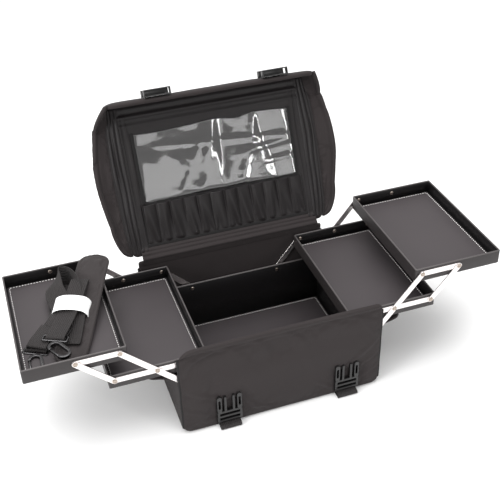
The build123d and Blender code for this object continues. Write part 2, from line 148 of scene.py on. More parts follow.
class CaseColours(bpy.types.PropertyGroup):
    nylon: colour("Nylon", "Outer fabric", (0.0235, 0.0190, 0.0192))
    lining: colour("Lining", "Lid lining and brush slots", (0.0098, 0.0080, 0.0084))
    binding: colour("Binding", "Tape on edges and pocket", (0.0072, 0.0064, 0.0066))
    # Outside and inside are one leatherette in two copies: the outside painted lighter as lit, the inside
    # painted darker as shade inside the trays and box.
    leatherette: colour("Leatherette", "Outside of trays and box", (0.0225, 0.0190, 0.0192))
    # The rim colour is about three times the leatherette's: painted highlight where light catches the rolled
    # rims, not wear.
    rim: colour("Rims", "Upper edges of trays and box, painted lighter as a highlight", (0.075, 0.068, 0.068))
    # painted shade: the darker copy of the leatherette for the insides
    inside: colour("Tray inside", "Inside walls of trays and box", (0.0050, 0.0044, 0.0048))
    floor_lining: colour("Floor lining", "Floors of trays and box", (0.0470, 0.0400, 0.0425))
    webbing: colour("Webbing", "Straps", (0.0230, 0.0200, 0.0200))
    plastic: colour("Plastic", "Buckles", (0.0085, 0.0080, 0.0082))
    aluminium: colour("Aluminium", "Bars and arms", (0.83, 0.79, 0.78))
    rivet: colour("Rivet", "Nickel rivets", (0.40, 0.345, 0.30))
    black_metal: colour("Black metal", "Hooks and rings", (0.085, 0.083, 0.085))
    paper: colour("Paper", "Band round the packed strap", (0.88, 0.88, 0.88))
    thread: colour("Thread", "Sewing thread on the floors", (0.88, 0.86, 0.84))
    stage: colour("Stage", "Floor that the case stands on", (0.92, 0.92, 0.92))


def sizes():
    return bpy.context.scene.case_sizes


def colours():
    return bpy.context.scene.case_colours


# ---- finishes ----

class Finish:
    """A material with one Principled shader; what is the same all over stays on the shader's own sockets."""

    def __init__(self, name, base, roughness, **sockets):
        self.material = bpy.data.materials.new(name)
        self.material.use_nodes = True
        self.material.diffuse_color = (*base, 1)
        self.tree = self.material.node_tree
        self.base = base
        self.shader = self.tree.nodes["Principled BSDF"]
        self.shader.inputs["Base Color"].default_value = (*base, 1)
        self.shader.inputs["Roughness"].default_value = roughness
        for socket, value in sockets.items():
            self.shader.inputs[socket.replace("_", " ")].default_value = value
        place = self.node("TexCoord")
        self.object, self.uv = place.outputs["Object"], place.outputs["UV"]

    def node(self, kind, inputs=None, **settings):
        """A shader node; an input given as a socket is linked, anything else is its value."""
        made = self.tree.nodes.new(f"ShaderNode{kind}")
        for name, value in settings.items():
            setattr(made, name, value)
        for name, value in (inputs or {}).items():
            if isinstance(value, bpy.types.NodeSocket):
                self.tree.links.new(value, made.inputs[name])
            else:
                made.inputs[name].default_value = value
        return made

    def noise(self, scale, detail, coordinates=None):
        start = self.object if coordinates is None else coordinates
        return self.node("TexNoise", {"Vector": start, "Scale": scale, "Detail": detail}).outputs["Fac"]

    def mottle(self, scale, amount):
        """Vary the base colour: noise between a darker and a lighter tint."""
        inputs = {"Vector": self.object, "Scale": scale, "Detail": 5.0, "Roughness": 0.6}
        cloud = self.node("TexNoise", inputs).outputs["Fac"]
        mix = self.node("Mix", {"Factor": cloud}, data_type="RGBA")
        for number, tint in ((6, 1 - amount), (7, 1 + amount)):
            mix.inputs[number].default_value = (*[min(channel * tint, 1) for channel in self.base], 1)
        self.tree.links.new(mix.outputs[2], self.shader.inputs["Base Color"])
        return cloud

    def rough(self, source, low, high):
        limits = self.node("MapRange", {"Value": source, "To Min": low, "To Max": high})
        self.tree.links.new(limits.outputs["Result"], self.shader.inputs["Roughness"])

    def product(self, first, second):
        return self.node("Math", {0: first, 1: second}, operation="MULTIPLY").outputs[0]

    def wave(self, coordinate, pitch):
        """sin(2 pi coordinate / pitch)"""
        turn = self.product(coordinate, 2 * math.pi / pitch)
        return self.node("Math", {0: turn}, operation="SINE").outputs[0]

    def bump(self, height, strength, distance, below=None):
        made = self.node("Bump", {"Height": height, "Strength": strength, "Distance": distance})
        if below is not None:
            self.tree.links.new(below.outputs["Normal"], made.inputs["Normal"])
        return made

    def topped(self, top):
        self.tree.links.new(top.outputs["Normal"], self.shader.inputs["Normal"])
        return self.material


def woven(name, base, pitch, roughness, sheen, strength):
    """Plain weave that follows the piece's own UV map, in metres: warp wave times weft wave."""
    cloth = Finish(name, base, roughness, Sheen_Weight=sheen, Sheen_Roughness=0.45, Specular_IOR_Level=0.25)
    cut = cloth.node("SeparateXYZ", {0: cloth.uv})
    weave = cloth.product(cloth.wave(cut.outputs["X"], pitch), cloth.wave(cut.outputs["Y"], pitch))
    cloth.rough(cloth.mottle(14.0, 0.16), roughness - 0.12, roughness + 0.08)
    slub = cloth.bump(cloth.noise(160.0, 3.0), 0.25, 0.0006)
    return cloth.topped(cloth.bump(weave, strength, 0.00025, slub))


def ribbed(name, base, pitch):
    """Webbing: ribs along its length, crossed by the fine weft."""
    strap = Finish(name, base, 0.62, Sheen_Weight=0.05, Sheen_Roughness=0.4, Specular_IOR_Level=0.3)
    cut = strap.node("SeparateXYZ", {0: strap.uv})
    weft = strap.product(strap.wave(cut.outputs["Y"], 0.0016), strap.wave(cut.outputs["X"], pitch / 2))
    strap.rough(strap.mottle(40.0, 0.2), 0.5, 0.72)
    ribs = strap.bump(strap.wave(cut.outputs["X"], pitch), 0.9, 0.0007)
    return strap.topped(strap.bump(weft, 0.35, 0.0003, ribs))


def grained(name, base, roughness, scale=1100.0, strength=0.3):
    """Leatherette: small raised pebbles with creases between them, and faint rubbed patches."""
    leather = Finish(name, base, roughness, Specular_IOR_Level=0.4)
    pebbles = leather.node("TexVoronoi", {"Vector": leather.object, "Scale": scale}, feature="SMOOTH_F1")
    leather.rough(leather.mottle(11.0, 0.1), roughness - 0.1, roughness + 0.1)
    return leather.topped(leather.bump(pebbles.outputs["Distance"], strength, 0.0002))


def metal(name, base, roughness, brushed):
    """Metal with fine scratches and slight stains; brushed stretches the scratches along X."""
    sheet = Finish(name, base, roughness, Metallic=1.0)
    stretch = sheet.node("Mapping", {"Vector": sheet.object, "Scale": brushed})
    scratch = sheet.noise(1.0, 4.0, stretch.outputs["Vector"])
    sheet.mottle(60.0, 0.06)
    sheet.rough(scratch, max(roughness - 0.1, 0.05), roughness + 0.14)
    return sheet.topped(sheet.bump(scratch, 0.12, 0.0001))


def moulded(name, base, roughness):
    """Moulded plastic: near smooth, with a fine spark texture and polished spots."""
    plastic = Finish(name, base, roughness, Specular_IOR_Level=0.55)
    plastic.rough(plastic.mottle(70.0, 0.15), roughness - 0.1, roughness + 0.12)
    return plastic.topped(plastic.bump(plastic.noise(2600.0, 2.0), 0.15, 0.00008))


def film(name):
    """Clear vinyl with faint rub marks."""
    vinyl = Finish(name, (0.93, 0.925, 0.925), 0.06, Transmission_Weight=1.0, IOR=1.68,
                   Specular_IOR_Level=0.8)
    rubs = vinyl.noise(45.0, 6.0)
    vinyl.rough(rubs, 0.02, 0.12)
    return vinyl.topped(vinyl.bump(rubs, 0.18, 0.0012))


def matt(name, base, roughness, scale):
    """Paper, thread or stage: matt, with a faint fibre."""
    fibre = Finish(name, base, roughness, Specular_IOR_Level=0.2)
    return fibre.topped(fibre.bump(fibre.mottle(scale, 0.04), 0.1, 0.0002))


def material_of(name):
    """A finish by name, made the first time that it is asked for."""
    have = bpy.data.materials.get(name)
    if have:
        return have
    tone, size = colours(), sizes()
    makers = {
        "nylon fabric": lambda: woven(name, tone.nylon, size.weave_pitch, 0.82, 0.04, 0.35),
        "lining fabric": lambda: woven(name, tone.lining, size.weave_pitch * 0.6, 0.44, 0.06, 0.15),
        "binding tape": lambda: woven(name, tone.binding, size.weave_pitch * 1.4, 0.7, 0.06, 0.4),
        # outer and inner leatherette are one leatherette, painted lighter as lit outside and darker as shade
        # inside
        "outer leatherette painted as lit": lambda: grained(name, tone.leatherette, 0.5),
        # rim leatherette: painted highlight on the rolled rims
        "rim leatherette with painted highlight": lambda: grained(name, tone.rim, 0.34, 1100.0, 0.15),
        "inner leatherette with painted shade": lambda: grained(name, tone.inside, 0.42),
        "floor leatherette": lambda: grained(name, tone.floor_lining, 0.55, 900.0, 0.22),
        "ribbed webbing": lambda: ribbed(name, tone.webbing, size.rib_pitch),
        "pad cloth": lambda: woven(name, tone.nylon, size.weave_pitch * 0.8, 0.7, 0.12, 0.2),
        "satin aluminium": lambda: metal(name, tone.aluminium, 0.32, (40.0, 900.0, 900.0)),
        "nickel rivet": lambda: metal(name, tone.rivet, 0.26, (500.0, 500.0, 500.0)),
        "black metal": lambda: metal(name, tone.black_metal, 0.24, (300.0, 300.0, 300.0)),
        "buckle plastic": lambda: moulded(name, tone.plastic, 0.34),
        "clear film": lambda: film(name),
        "band paper": lambda: matt(name, tone.paper, 0.75, 240.0),
        "sewing thread": lambda: matt(name, tone.thread, 0.8, 900.0),
        "stage": lambda: matt(name, tone.stage, 0.9, 3.0),
    }
    return makers[name]()


# ---- surfaces ----

def normals_of(points):
    """Unit normals of a grid: the cross product of its two directions of change."""
    normal = np.cross(np.gradient(points, axis=0), np.gradient(points, axis=1))
    return normal / np.maximum(np.linalg.norm(normal, axis=-1, keepdims=True), 1e-12)


def spread(low, high, count, rim=0.0, rings=5):
    """Places from low to high; within rim of each end they follow rim * (1 - cos angle), to round it."""
    if rim <= 0:
        return np.linspace(low, high, count)
    near = rim * (1 - np.cos(np.linspace(0, math.pi / 2, rings + 1)))[:-1]
    return np.concatenate([low + near, np.linspace(low + rim, high - rim, count), (high - near)[::-1]])


def round_corners(x, y, radii):
    """A rectangular grid with its corners pulled onto arcs, and each point's distance from the outline.

    In a corner square of side r a point (a, b), in shares of r, goes to
    (a sqrt(1 - b*b/2), b sqrt(1 - a*a/2)).
    """
    low_x, high_x, low_y, high_y = x.min(), x.max(), y.min(), y.max()
    edge = np.minimum(np.minimum(x - low_x, high_x - x), np.minimum(y - low_y, high_y - y))
    new_x, new_y = x.copy(), y.copy()
    corners = ((low_x, -1, low_y, -1), (high_x, 1, low_y, -1), (high_x, 1, high_y, 1), (low_x, -1, high_y, 1))
    for (corner_x, way_x, corner_y, way_y), radius in zip(corners, radii):
        if radius <= 0:
            continue
        middle_x, middle_y = corner_x - way_x * radius, corner_y - way_y * radius
        a, b = (x - middle_x) * way_x / radius, (y - middle_y) * way_y / radius
        inside = (a > 0) & (b > 0)
        a, b = np.where(inside, a, 0), np.where(inside, b, 0)
        arc_a, arc_b = a * np.sqrt(1 - b * b / 2), b * np.sqrt(1 - a * a / 2)
        new_x = np.where(inside, middle_x + way_x * radius * arc_a, new_x)
        new_y = np.where(inside, middle_y + way_y * radius * arc_b, new_y)
        edge = np.where(inside, radius * (1 - np.hypot(arc_a, arc_b)), edge)
    return new_x, new_y, np.maximum(edge, 0)


def fall(edge, rim):
    """Quarter-round share of the full thickness at a distance from the outline."""
    return np.sqrt(np.maximum(1 - (1 - np.clip(edge / rim, 0, 1)) ** 2, 0))


def even(height):
    """The same height all over one face of a plate."""
    return lambda a, t, edge: height + 0 * a


def smooth_step(value, low, high):
    share = np.clip((value - low) / (high - low), 0, 1)
    return share * share * (3 - 2 * share)


def ridge(value, middle, half):
    """A smooth hump, 1 at the middle and 0 beyond half on each side."""
    return np.cos(np.clip((value - middle) / half, -1, 1) * math.pi / 2) ** 2


def crease(x, y, start, end, half):
    """A soft fold along a line between two points: a hump across it that fades towards its ends."""
    start, end = np.array(start), np.array(end)
    run = np.linalg.norm(end - start)
    way = (end - start) / run
    along = (x - start[0]) * way[0] + (y - start[1]) * way[1]
    across = (y - start[1]) * way[0] - (x - start[0]) * way[1]
    fade = np.sin(np.clip(along / run, 0, 1) * math.pi)
    return np.exp(-((across / half) ** 2)) * fade


def ripple(x, y, pitch, seed):
    """Gentle unevenness between -1 and 1: three crossed sine waves with fixed phases."""
    phase = np.random.default_rng(seed).uniform(0, 2 * math.pi, 6)
    k = 2 * math.pi / pitch
    first = np.sin(k * x + phase[0] + 0.9 * np.sin(k * 0.7 * y + phase[1]))
    second = np.sin(k * 1.3 * y + phase[2] + 0.8 * np.sin(k * 0.6 * x + phase[3]))
    third = np.sin(k * 0.8 * (x + y) + phase[4]) * np.sin(k * 0.5 * (x - y) + phase[5])
    return (first + second + third) / 3


def read_line(places, t, values):
    """What a line's values are at the given places along it, straight between its points."""
    return np.stack([np.interp(places, t, values[:, axis]) for axis in range(3)], -1)


class Track:
    """A line in space with a sideways direction at every point.

    place(a, t, n) is a sideways and n along the normal, side x forward, from the point t along the line.
    """

    def __init__(self, line, sideways):
        self.line = np.asarray(line, float)
        steps = np.linalg.norm(np.diff(self.line, axis=0), axis=1)
        self.t = np.concatenate([[0], np.cumsum(steps)])
        self.length = self.t[-1]
        self.ahead = np.gradient(self.line, self.t, axis=0)
        self.ahead /= np.linalg.norm(self.ahead, axis=1, keepdims=True)
        side = np.broadcast_to(np.asarray(sideways, float), self.line.shape)
        side = side - (side * self.ahead).sum(1, keepdims=True) * self.ahead
        self.side = side / np.linalg.norm(side, axis=1, keepdims=True)
        self.normal = np.cross(self.side, self.ahead)

    def place(self, a, t, n):
        a, t, n = np.broadcast_arrays(a, t, n)
        line, side, normal = (read_line(t, self.t, values) for values in (self.line, self.side, self.normal))
        return line + a[..., None] * side + n[..., None] * normal


def straight(start, end, sideways):
    return Track(np.linspace(start, end, 30), sideways)


LONGEST_STEP = 4.8 * MM         # between two points of a straight run


def filleted(corners, radii):
    """Points along straight runs joined by arcs that touch both runs."""
    corners = [np.array(corner, float) for corner in corners]
    line = [corners[0]]
    for before, corner, after, radius in zip(corners, corners[1:], corners[2:], radii):
        back, on = before - corner, after - corner
        back, on = back / np.linalg.norm(back), on / np.linalg.norm(on)
        half = math.acos(np.clip(back @ on, -1, 1)) / 2
        reach = radius / math.tan(half)
        centre = corner + (back + on) / np.linalg.norm(back + on) * radius / math.sin(half)
        first, last = corner + back * reach - centre, corner + on * reach - centre
        turn = math.pi - 2 * half
        for share in np.linspace(0, 1, 9):
            spoke = math.sin((1 - share) * turn) * first + math.sin(share * turn) * last
            line.append(centre + spoke / math.sin(turn))
    line.append(corners[-1])
    dense = [line[0]]
    for start, end in zip(line, line[1:]):
        count = max(int(np.linalg.norm(end - start) / LONGEST_STEP), 1)
        dense += [start + (end - start) * share for share in np.linspace(0, 1, count + 1)[1:]]
    return np.array(dense)


def smooth_line(points, count=24):
    """A line through chosen points, each span a cubic whose ends follow the neighbouring points."""
    points = np.asarray(points, float)
    wide = np.vstack([2 * points[0] - points[1], points, 2 * points[-1] - points[-2]])
    t = np.linspace(0, 1, count, endpoint=False)[:, None]
    spans = []
    for p0, p1, p2, p3 in zip(wide, wide[1:], wide[2:], wide[3:]):
        spans.append(0.5 * (2 * p1 + (p2 - p0) * t + (2 * p0 - 5 * p1 + 4 * p2 - p3) * t ** 2
                            + (3 * p1 - p0 - 3 * p2 + p3) * t ** 3))
    return np.vstack(spans + [points[-1:]])


def plate(track, across, along, radii, rim, front, back, bend=None):
    """Both faces of a closed padded plate laid along a track.

    front and back give its height above and below the track at each point; both fall to nothing at the
    outline as a quarter round of width rim. bend shifts the places (a, t) once the corners are rounded.
    """
    a, t = np.meshgrid(across, along, indexing="ij")
    a, t, edge = round_corners(a, t, radii)
    share = fall(edge, rim)
    uv = np.stack([a, t], -1)
    high, low = front(a, t, edge) * share, back(a, t, edge) * share
    if bend is not None:
        a, t = bend(a, t)
    return [(track.place(a, t, high), uv), (track.place(a, t, -low)[::-1], uv[::-1])]


def shell(middle, high, low, uv):
    """Both faces of a closed sheet around a grid of middle points, offset along its normals."""
    normal = normals_of(middle)
    return [(middle + normal * high[..., None], uv), ((middle - normal * low[..., None])[::-1], uv[::-1])]


def tube(line, radius, sides=12, squash=1.0, sideways=(0, 0, 1)):
    """A closed tube along a line, rounded off at both ends: a circle of angles carried along a track."""
    track = Track(line, sideways)
    angle = np.linspace(0, 2 * math.pi, sides + 1)
    t = spread(0, track.length, max(int(track.length / (radius * 1.5)), 4), radius, 4)
    grid_t, grid_angle = np.meshgrid(t, angle, indexing="ij")
    size = radius * fall(np.minimum(grid_t, track.length - grid_t), radius)
    points = track.place(size * np.cos(grid_angle), grid_t, size * squash * np.sin(grid_angle))
    return points, np.stack([grid_angle * radius, grid_t], -1)


def revolved(profile, centre, way=1, sides=20):
    """A profile of (radius, distance along Y) turned about Y at a centre."""
    profile = np.asarray(profile, float)
    angle = np.linspace(0, 2 * math.pi, sides + 1)
    radius, depth = profile[:, :1], profile[:, 1:]
    points = np.stack([radius * np.cos(angle), depth * way + 0 * angle, radius * np.sin(angle)], -1)
    return points + np.asarray(centre), np.stack([radius * angle, depth + 0 * angle], -1)


def rounded_loop(half_x, half_y, radius, per_corner=5, per_side=10):
    """A closed rounded rectangle: four arcs joined by straight sides, the last point on the first."""
    line = []
    for number in range(4):
        way = math.pi / 2 * number
        middle = np.array([(half_x - radius) * (1, -1, -1, 1)[number],
                           (half_y - radius) * (1, 1, -1, -1)[number]])
        angle = np.linspace(way, way + math.pi / 2, per_corner)
        line.append(middle + radius * np.stack([np.cos(angle), np.sin(angle)], -1))
    closed = []
    for arc, following in zip(line, line[1:] + line[:1]):
        share = np.linspace(0, 1, per_side + 1)[1:-1, None]
        closed += [arc, arc[-1] * (1 - share) + following[0] * share]
    closed.append(line[0][:1])
    return np.vstack(closed)


def ring(low, high, profile, radius):
    """A profile of (inset, height) carried round a rounded rectangle seen from above."""
    middle, half = (low[:2] + high[:2]) / 2, (high[:2] - low[:2]) / 2
    rows = []
    for inset, height in profile:
        loop = rounded_loop(half[0] - inset, half[1] - inset, max(radius - inset, 0.0006)) + middle
        rows.append(np.column_stack([loop, np.full(len(loop), height)]))
    points = np.array(rows)
    run = np.concatenate([[0], np.cumsum(np.linalg.norm(np.diff(points[0], axis=0), axis=1))])
    rise = np.concatenate([[0], np.cumsum(np.linalg.norm(np.diff(np.asarray(profile), axis=0), axis=1))])
    return points, np.stack(np.broadcast_arrays(run[None, :], rise[:, None]), -1)


def stitches(lines, lift):
    """Rows of sewn stitches: short six-sided threads with tapered ends, bulging along lift."""
    size = sizes()
    radius, step = size.stitch_thickness / 2, size.stitch_length + size.stitch_gap
    grids = []
    angle = np.linspace(0, 2 * math.pi, 7)
    share = np.array([-0.5, -0.36, 0, 0.36, 0.5])
    girth = np.array([0, 0.85, 1, 0.85, 0])
    lift = np.asarray(lift, float)
    for line in lines:
        line = np.asarray(line, float)
        t = np.concatenate([[0], np.cumsum(np.linalg.norm(np.diff(line, axis=0), axis=1))])
        count = max(int(t[-1] / step), 1)
        places = (np.arange(count) + 0.5) * t[-1] / count
        before, middle, later = (read_line(places + way, t, line) for way in (-1e-4, 0, 1e-4))
        ahead = later - before
        ahead /= np.linalg.norm(ahead, axis=1, keepdims=True)
        side = np.cross(lift, ahead)
        side /= np.linalg.norm(side, axis=1, keepdims=True)
        for centre, way, across in zip(middle, ahead, side):
            spine = centre + np.outer(share * size.stitch_length, way) + np.outer(girth * radius * 0.35, lift)
            round_part = np.cos(angle)[None, :, None] * across + np.sin(angle)[None, :, None] * lift
            points = spine[:, None] + round_part * (girth * radius)[:, None, None]
            grids.append((points, np.zeros(points.shape[:2] + (2,))))
    return grids


def mesh_piece(name, grids, materials, slots=None, merge=1e-6):
    """One mesh from grids of points with their UVs in metres, its seams and poles merged, faces outwards."""
    points, faces, uvs, numbers, start = [], [], [], [], 0
    for number, (grid, uv) in enumerate(grids):
        rows, columns = grid.shape[:2]
        index = np.arange(rows * columns).reshape(rows, columns) + start
        quads = np.stack([index[:-1, :-1], index[1:, :-1], index[1:, 1:], index[:-1, 1:]], -1).reshape(-1, 4)
        points.append(grid.reshape(-1, 3))
        uvs.append(uv.reshape(-1, 2)[quads - start].reshape(-1, 2))
        faces.append(quads)
        numbers.append(np.full(len(quads), slots[number] if slots else 0))
        start += rows * columns
    mesh = bpy.data.meshes.new(name)
    mesh.from_pydata(np.concatenate(points).tolist(), [], np.concatenate(faces).tolist())
    layer = mesh.uv_layers.new(name="UVMap")
    layer.data.foreach_set("uv", np.concatenate(uvs).astype(np.float32).ravel())
    mesh.polygons.foreach_set("material_index", np.concatenate(numbers).astype(np.int32))
    for material in materials if isinstance(materials, (list, tuple)) else [materials]:
        mesh.materials.append(material_of(material))
    turned = bmesh.new()
    turned.from_mesh(mesh)
    bmesh.ops.remove_doubles(turned, verts=turned.verts, dist=merge)
    bmesh.ops.dissolve_degenerate(turned, edges=turned.edges, dist=merge / 4)
    bmesh.ops.recalc_face_normals(turned, faces=turned.faces)
    turned.to_mesh(mesh)
    turned.free()
    mesh.polygons.foreach_set("use_smooth", np.ones(len(mesh.polygons), bool))
    made = bpy.data.objects.new(name, mesh)
    bpy.context.scene.collection.objects.link(made)
    return made


def put(piece, body, slot, *nodes):
    """The piece rides on a body and stands for the given CAD nodes, which it hides; slot is not used."""
    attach(piece, body)
    if nodes:
        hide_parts(*nodes)
    return piece


def softened(name, source, material, width=0.5 * MM, segments=2):
    """A copy of a CAD node with its loose triangles merged and its sharp edges rounded by a bevel."""
    copied = frame["nodes"][source].data.copy()
    copied.materials.clear()
    copied.materials.append(material_of(material))
    whole = bmesh.new()
    whole.from_mesh(copied)
    bmesh.ops.remove_doubles(whole, verts=whole.verts, dist=2e-6)
    bmesh.ops.dissolve_limit(whole, angle_limit=math.radians(1), verts=whole.verts, edges=whole.edges)
    whole.to_mesh(copied)
    whole.free()
    made = bpy.data.objects.new(name, copied)
    bpy.context.scene.collection.objects.link(made)
    rounding = made.modifiers.new("rounded edges", "BEVEL")
    rounding.width, rounding.segments = width, segments
    rounding.limit_method, rounding.angle_limit = "ANGLE", math.radians(35)
    copied.polygons.foreach_set("use_smooth", np.ones(len(copied.polygons), bool))
    made.modifiers.new("edge shading", "EDGE_SPLIT").split_angle = math.radians(50)
    return made


CLOTH_FRAMES = 20
CLOTH_STIFFNESS = 18.0


def puffed(piece, pressure, cap, held):
    """Cloth simulation that fills a closed padded piece, as air would, and leaves its seams where they are.

    held is a function of the points that gives 1 where a seam holds the fabric and 0 where it is free. How
    far a point ends up from its sewn place is capped at cap * tanh(distance / cap).
    """
    mesh = piece.data
    before = points_of(mesh)
    pinned = np.clip(held(before), 0, 1)
    group = piece.vertex_groups.new(name="seams")
    for level in np.unique(np.round(pinned, 1)):
        chosen = np.flatnonzero(np.round(pinned, 1) == level)
        if level > 0:
            group.add(chosen.tolist(), float(level), "REPLACE")
    cloth = piece.modifiers.new("filling", "CLOTH")
    settings = cloth.settings
    settings.quality = 5
    settings.mass = 0.25
    settings.tension_stiffness = CLOTH_STIFFNESS
    settings.compression_stiffness = CLOTH_STIFFNESS
    settings.shear_stiffness = CLOTH_STIFFNESS / 2
    settings.bending_stiffness = 0.6
    settings.use_pressure = True
    settings.uniform_pressure_force = pressure
    settings.shrink_min = -0.03
    settings.vertex_group_mass = "seams"
    settings.effector_weights.gravity = 0
    cloth.collision_settings.use_collision = False
    scene = bpy.context.scene
    for number in range(1, CLOTH_FRAMES + 1):
        scene.frame_set(number)
    after = points_of(piece.evaluated_get(bpy.context.evaluated_depsgraph_get()).to_mesh())
    piece.to_mesh_clear()
    piece.modifiers.clear()
    piece.vertex_groups.clear()
    scene.frame_set(1)
    move = after - before
    far = np.maximum(np.linalg.norm(move, axis=1, keepdims=True), 1e-9)
    if not np.isfinite(move).all():
        raise RuntimeError(f"the filling of {piece.name} didn't settle")
    mesh.vertices.foreach_set("co", (before + move / far * cap * np.tanh(far / cap)).ravel())
    mesh.update()


def sewn_edges(low, high, width, axes):
    """Held near the outline of a box in the given axes, free inside it."""
    def held(points):
        inside = np.full(len(points), np.inf)
        for axis in axes:
            inside = np.minimum(inside, np.minimum(points[:, axis] - low[axis], high[axis] - points[:, axis]))
        return 1 - smooth_step(inside, 0, width)
    return held


# ---- stage ----

CAMERA_PLACE = (-0.3992, -1.1938, 1.1428)
CAMERA_YAW = 18.1           # from +Y towards +X
CAMERA_PITCH = -35.2
CAMERA_ROLL = -1.8
CAMERA_LENS = 63.07
CAMERA_SENSOR = 36
STAGE_REACH = 6
SKY_STRENGTH = 0.7

# name, place, the point that it faces, width, height and power
LIGHTS = (("overhead", (-0.2, 0.1, 2.4), (0, 0, 0.1), 2.8, 2.4, 78),
          ("front window", (0.35, -2.0, 0.95), (0.02, 0.2, 0.3), 1.25, 0.62, 4.9),
          ("front strip", (1.1, -1.75, 1.05), (0.02, 0.2, 0.3), 0.18, 0.8, 5),
          ("left fill", (-2.3, -1.0, 1.2), (-0.1, 0, 0.1), 0.9, 1.0, 34))


def soft_light(name, place, target, width, height, power):
    data = bpy.data.lights.new(name, "AREA")
    data.shape, data.size, data.size_y, data.energy = "RECTANGLE", width, height, power
    light = bpy.data.objects.new(name, data)
    bpy.context.scene.collection.objects.link(light)
    light.location = place
    light.rotation_euler = (Vector(target) - Vector(place)).to_track_quat("-Z", "Y").to_euler()


class CASE_OT_stage(bpy.types.Operator):
    """Pale floor, soft studio lights and the camera"""
    bl_idname = "case.stage"
    bl_label = "Stage"

    def execute(self, context):
        reach = np.linspace(-STAGE_REACH, STAGE_REACH, 13)
        x, y = np.meshgrid(reach, reach, indexing="ij")
        floor = mesh_piece("stage_floor", [(np.stack([x, y, 0 * x], -1), np.stack([x, y], -1))], "stage")
        world = context.scene.world or bpy.data.worlds.new("studio")
        context.scene.world = world
        world.use_nodes = True
        back = world.node_tree.nodes["Background"]
        back.inputs["Color"].default_value = (1.0, 0.995, 0.99, 1)
        back.inputs["Strength"].default_value = SKY_STRENGTH
        for light in LIGHTS:
            soft_light(*light)
        camera = bpy.data.objects.new("camera", bpy.data.cameras.new("camera"))
        context.scene.collection.objects.link(camera)
        camera.data.lens, camera.data.sensor_width = CAMERA_LENS, CAMERA_SENSOR
        camera.data.clip_start = 0.05
        turn = (Matrix.Rotation(-math.radians(CAMERA_YAW), 4, "Z")
                @ Matrix.Rotation(math.radians(90 + CAMERA_PITCH), 4, "X")
                @ Matrix.Rotation(math.radians(CAMERA_ROLL), 4, "Z"))
        camera.matrix_world = Matrix.Translation(CAMERA_PLACE) @ turn
        context.scene.camera = camera
        context.scene.view_settings.view_transform = "Standard"
        return {"FINISHED"}


# ---- fabric body ----

FABRIC_FOOT = 2.2 * MM          # lower edge of the side panels, above the webbing
ROUNDING = 3 * MM               # how far from an edge the grids of padded pieces get finer
BUCKLE_ZONE = 55 * MM           # height that the buckles press flat on the front

# soft wrinkles of the front panel, in millimetres from its middle and foot: start, end, half width, height
FRONT_WRINKLES = (((120, 62), (186, 118), 4.5, 2.0), ((130, 46), (184, 84), 4, 1.7),
                  ((60, 46), (98, 12), 5, 1.3), ((-76, 52), (-40, 6), 5, 1.4),
                  ((-176, 96), (-112, 58), 5, 1.4), ((-186, 150), (-130, 171), 5, 1.8),
                  ((146, 160), (184, 104), 5, 1.7), ((-186, 56), (-136, 32), 5, 1.3),
                  ((20, 165), (64, 56), 9, 0.8), ((152, 30), (184, 52), 4, 1.3),
                  ((-60, 30), (-20, 10), 4, 1.2))


def strap_room(x, width=6 * MM):
    """1 away from the straps and 0 under them, so that the padding doesn't swell into the webbing."""
    room = np.ones_like(x)
    for middle in STRAP_MIDDLES.values():
        room = room * smooth_step(np.abs(x - middle), STRAP_HALF, STRAP_HALF + width)
    return room


